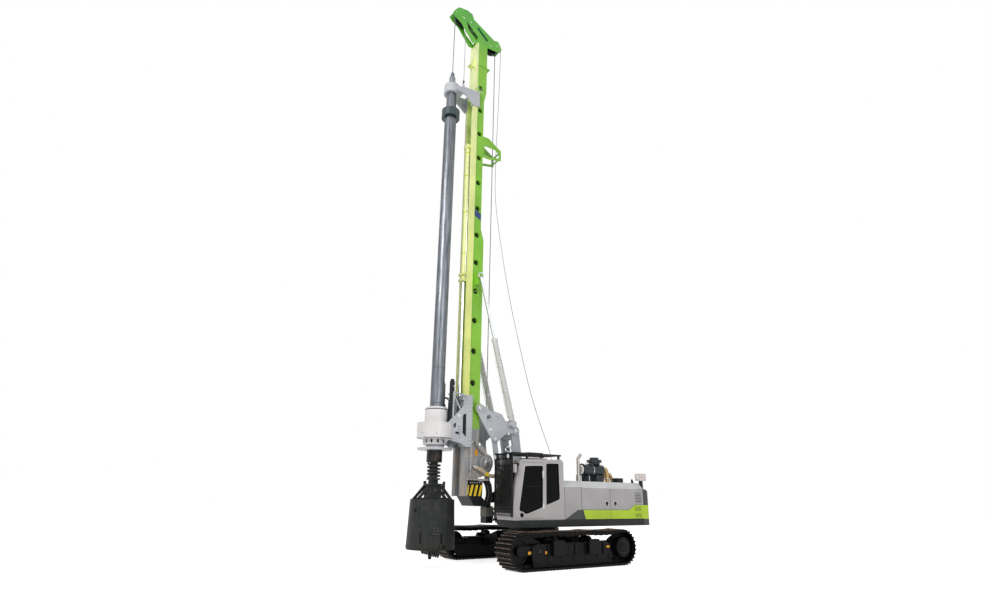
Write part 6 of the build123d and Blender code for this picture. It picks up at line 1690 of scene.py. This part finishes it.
def hose(name, body, places, diameter, material):
    """A smooth free hose whose ends are in fittings of the object."""
    data = bpy.data.curves.new(name, "CURVE")
    data.dimensions = "3D"
    line = data.splines.new("NURBS")
    line.points.add(len(places) - 1)
    for point, place in zip(line.points, places):
        point.co = (*at(*place), 1)
    line.order_u = 3
    line.use_endpoint_u = True
    line.resolution_u = 10
    data.bevel_depth = diameter / 2
    data.bevel_resolution = 3
    data.use_fill_caps = True
    data.materials.append(material)
    piece = bpy.data.objects.new(name, data)
    bpy.context.scene.collection.objects.link(piece)
    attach(piece, body)
    return piece


def fittings(name, body, ends, radius):
    """Bright hose ends: each holds a place and the way the hose leaves it."""
    shape = Shape()
    for place, way in ends:
        shape.lathe(
            place, way,
            (
                (-0.03, radius * 0.8), (-0.03, radius * 1.35), (0.01, radius * 1.35), (0.01, radius * 1.15),
                (0.06, radius * 1.15)
            ),
            12
        )
    shape.done(name, body, BRIGHT, 0.0)


def hoses():
    """Hose loops at the foot of the mast and its box, and on the carriage."""
    ends = []
    for k, y in enumerate((-0.2, -0.12, -0.045, 0.04, 0.12)):
        sag = 0.03 * math.sin(k * 2.1)
        foot = ((1.72, y, 1.62), (1.725, y, 1.565)) if k else ((1.74, y, 1.62), (1.815, y, 1.61))
        places = (
            (1.868, y, 2.28), (1.80, y, 2.275), (1.70, y + 0.008, 2.2), (1.645 + sag, y + 0.012, 2.05),
            (1.63 + sag, y + 0.01, 1.88), (1.655 + sag, y + 0.005, 1.73), *foot,
        )
        hose(f"foot_hose_{k + 1}", "mast", places, 0.038, HOSE)
        ends += [(places[0], (-1, 0, 0)), (places[-1], (0, 0, 1) if k else (-1, 0, 0))]
    fittings("foot_hose_ends", "mast", ends, 0.019)
    ends = []
    for k, y in enumerate((-0.11, -0.035, 0.04, 0.115)):
        reach = 0.02 * k
        places = (
            (1.628, y, 1.17), (1.56, y, 1.17), (1.47 - reach, y + 0.005, 1.21),
            (1.425 - reach, y + 0.01, 1.34),
            (1.46 - reach, y + 0.008, 1.46), (1.55, y, 1.505), (1.628, y, 1.505),
        )
        hose(f"foot_box_hose_{k + 1}", "mast", places, 0.036, HOSE)
        ends += [(places[0], (-1, 0, 0)), (places[-1], (-1, 0, 0))]
    fittings("foot_box_hose_ends", "mast", ends, 0.018)
    ends = []
    for hand, side in ((-1, "right"), (1, "left")):
        angle = math.radians(180 + hand * 40)
        x, y = KELLY_X + 0.432 * math.cos(angle), 0.432 * math.sin(angle)
        places = (
            (x - 0.05, y, 4.6), (x - 0.12, y + hand * 0.01, 4.61), (x - 0.2, y + hand * 0.035, 4.55),
            (x - 0.235, y + hand * 0.04, 4.38), (x - 0.23, y + hand * 0.04, 4.2),
            (x - 0.2, y + hand * 0.03, 4.08), (x - 0.14, y + hand * 0.01, 4.03), (x - 0.095, y, 4.03),
        )
        hose(f"motor_hose_{side}_1", "carriage", places, 0.034, HOSE)
        ends += [(places[0], (-1, 0, 0)), (places[-1], (-1, 0, 0))]
    fittings("motor_hose_ends", "carriage", ends, 0.017)


def all_pieces():
    """Everything that the looks add to the CAD model."""
    for name, side in (("left_track", 1), ("right_track", -1)):
        track_chain(name, side)
    undercarriage_fittings()
    side_fittings()
    roof_fittings()
    cab_glass()
    cab_fittings()
    cab_inside()
    seat()
    linkage_fittings()
    mast_fittings()
    lower_mast_fittings()
    carriage_fittings()
    kelly_fittings()
    bucket_fittings()
    main_rope()
    auxiliary_rope()
    hoses()




def camera():
    """The photograph's viewing angle."""
    heading, tilt, roll = map(math.radians, (CAMERA_HEADING, CAMERA_TILT, CAMERA_ROLL))
    forward = Vector((
        math.sin(heading) * math.cos(tilt),
        -math.cos(heading) * math.cos(tilt),
        math.sin(tilt),
    ))
    right = Vector((-math.cos(heading), -math.sin(heading), 0))
    up = right.cross(forward)
    turned_right = math.cos(roll) * right + math.sin(roll) * up
    turned_up = -math.sin(roll) * right + math.cos(roll) * up
    data = bpy.data.cameras.new("camera")
    data.sensor_width = SENSOR_WIDTH
    data.lens = FOCAL_SHARE * SENSOR_WIDTH
    data.shift_x, data.shift_y = CAMERA_SHIFT
    data.clip_end = 200
    view = bpy.data.objects.new("camera", data)
    view.matrix_world = Matrix.Translation(CAMERA_PLACE) @ Matrix(
        (turned_right, turned_up, -forward)
    ).transposed().to_4x4()
    bpy.context.scene.collection.objects.link(view)
    bpy.context.scene.camera = view


def lamp(name, place, target, size, watts, colour=(1, 1, 1)):
    """A large soft light aimed at a point."""
    data = bpy.data.lights.new(name, "AREA")
    data.shape = "DISK"
    data.size = size
    data.energy = watts
    data.color = colour
    light = bpy.data.objects.new(name, data)
    light.location = place
    aim = Vector(target) - Vector(place)
    light.rotation_euler = aim.to_track_quat("-Z", "Y").to_euler()
    bpy.context.scene.collection.objects.link(light)


def surroundings():
    """White world, pale floor and three soft lights."""
    world = bpy.data.worlds.new("world")
    bpy.context.scene.world = world
    world.use_nodes = True
    nodes, links = world.node_tree.nodes, world.node_tree.links
    background = nodes["Background"]
    background.inputs["Color"].default_value = (1, 1, 1, 1)
    path = nodes.new("ShaderNodeLightPath")
    seen = path.outputs["Is Camera Ray"]
    for other in ("Is Glossy Ray", "Is Transmission Ray"):
        either = nodes.new("ShaderNodeMath")
        either.operation = "MAXIMUM"
        links.new(seen, either.inputs[0])
        links.new(path.outputs[other], either.inputs[1])
        seen = either.outputs[0]
    level = nodes.new("ShaderNodeMapRange")
    level.inputs["To Min"].default_value = WORLD_LIGHT
    level.inputs["To Max"].default_value = 1.0
    links.new(seen, level.inputs["Value"])
    links.new(level.outputs["Result"], background.inputs["Strength"])
    lamp("key", (24, 9, 20), (0, 0, 6), 10, 3900, (1, 0.98, 0.95))
    lamp("fill", (4, 26, 12), (0, 0, 5), 14, 1700)
    lamp("back", (-20, -12, 18), (0, 0, 6), 12, 1700, (0.95, 0.97, 1))
    bpy.context.scene.view_settings.view_transform = "Standard"
    floor = bpy.data.meshes.new("floor")
    reach = 60.0
    floor.from_pydata(
        [(-reach, -reach, 0), (reach, -reach, 0), (reach, reach, 0), (-reach, reach, 0)], [], [(0, 1, 2, 3)]
    )
    floor.materials.append(floor_finish())
    ground = bpy.data.objects.new("floor", floor)
    bpy.context.scene.collection.objects.link(ground)


WORLD_LIGHT = 0.38

dress_frame()
camera()
surroundings()
all_pieces()
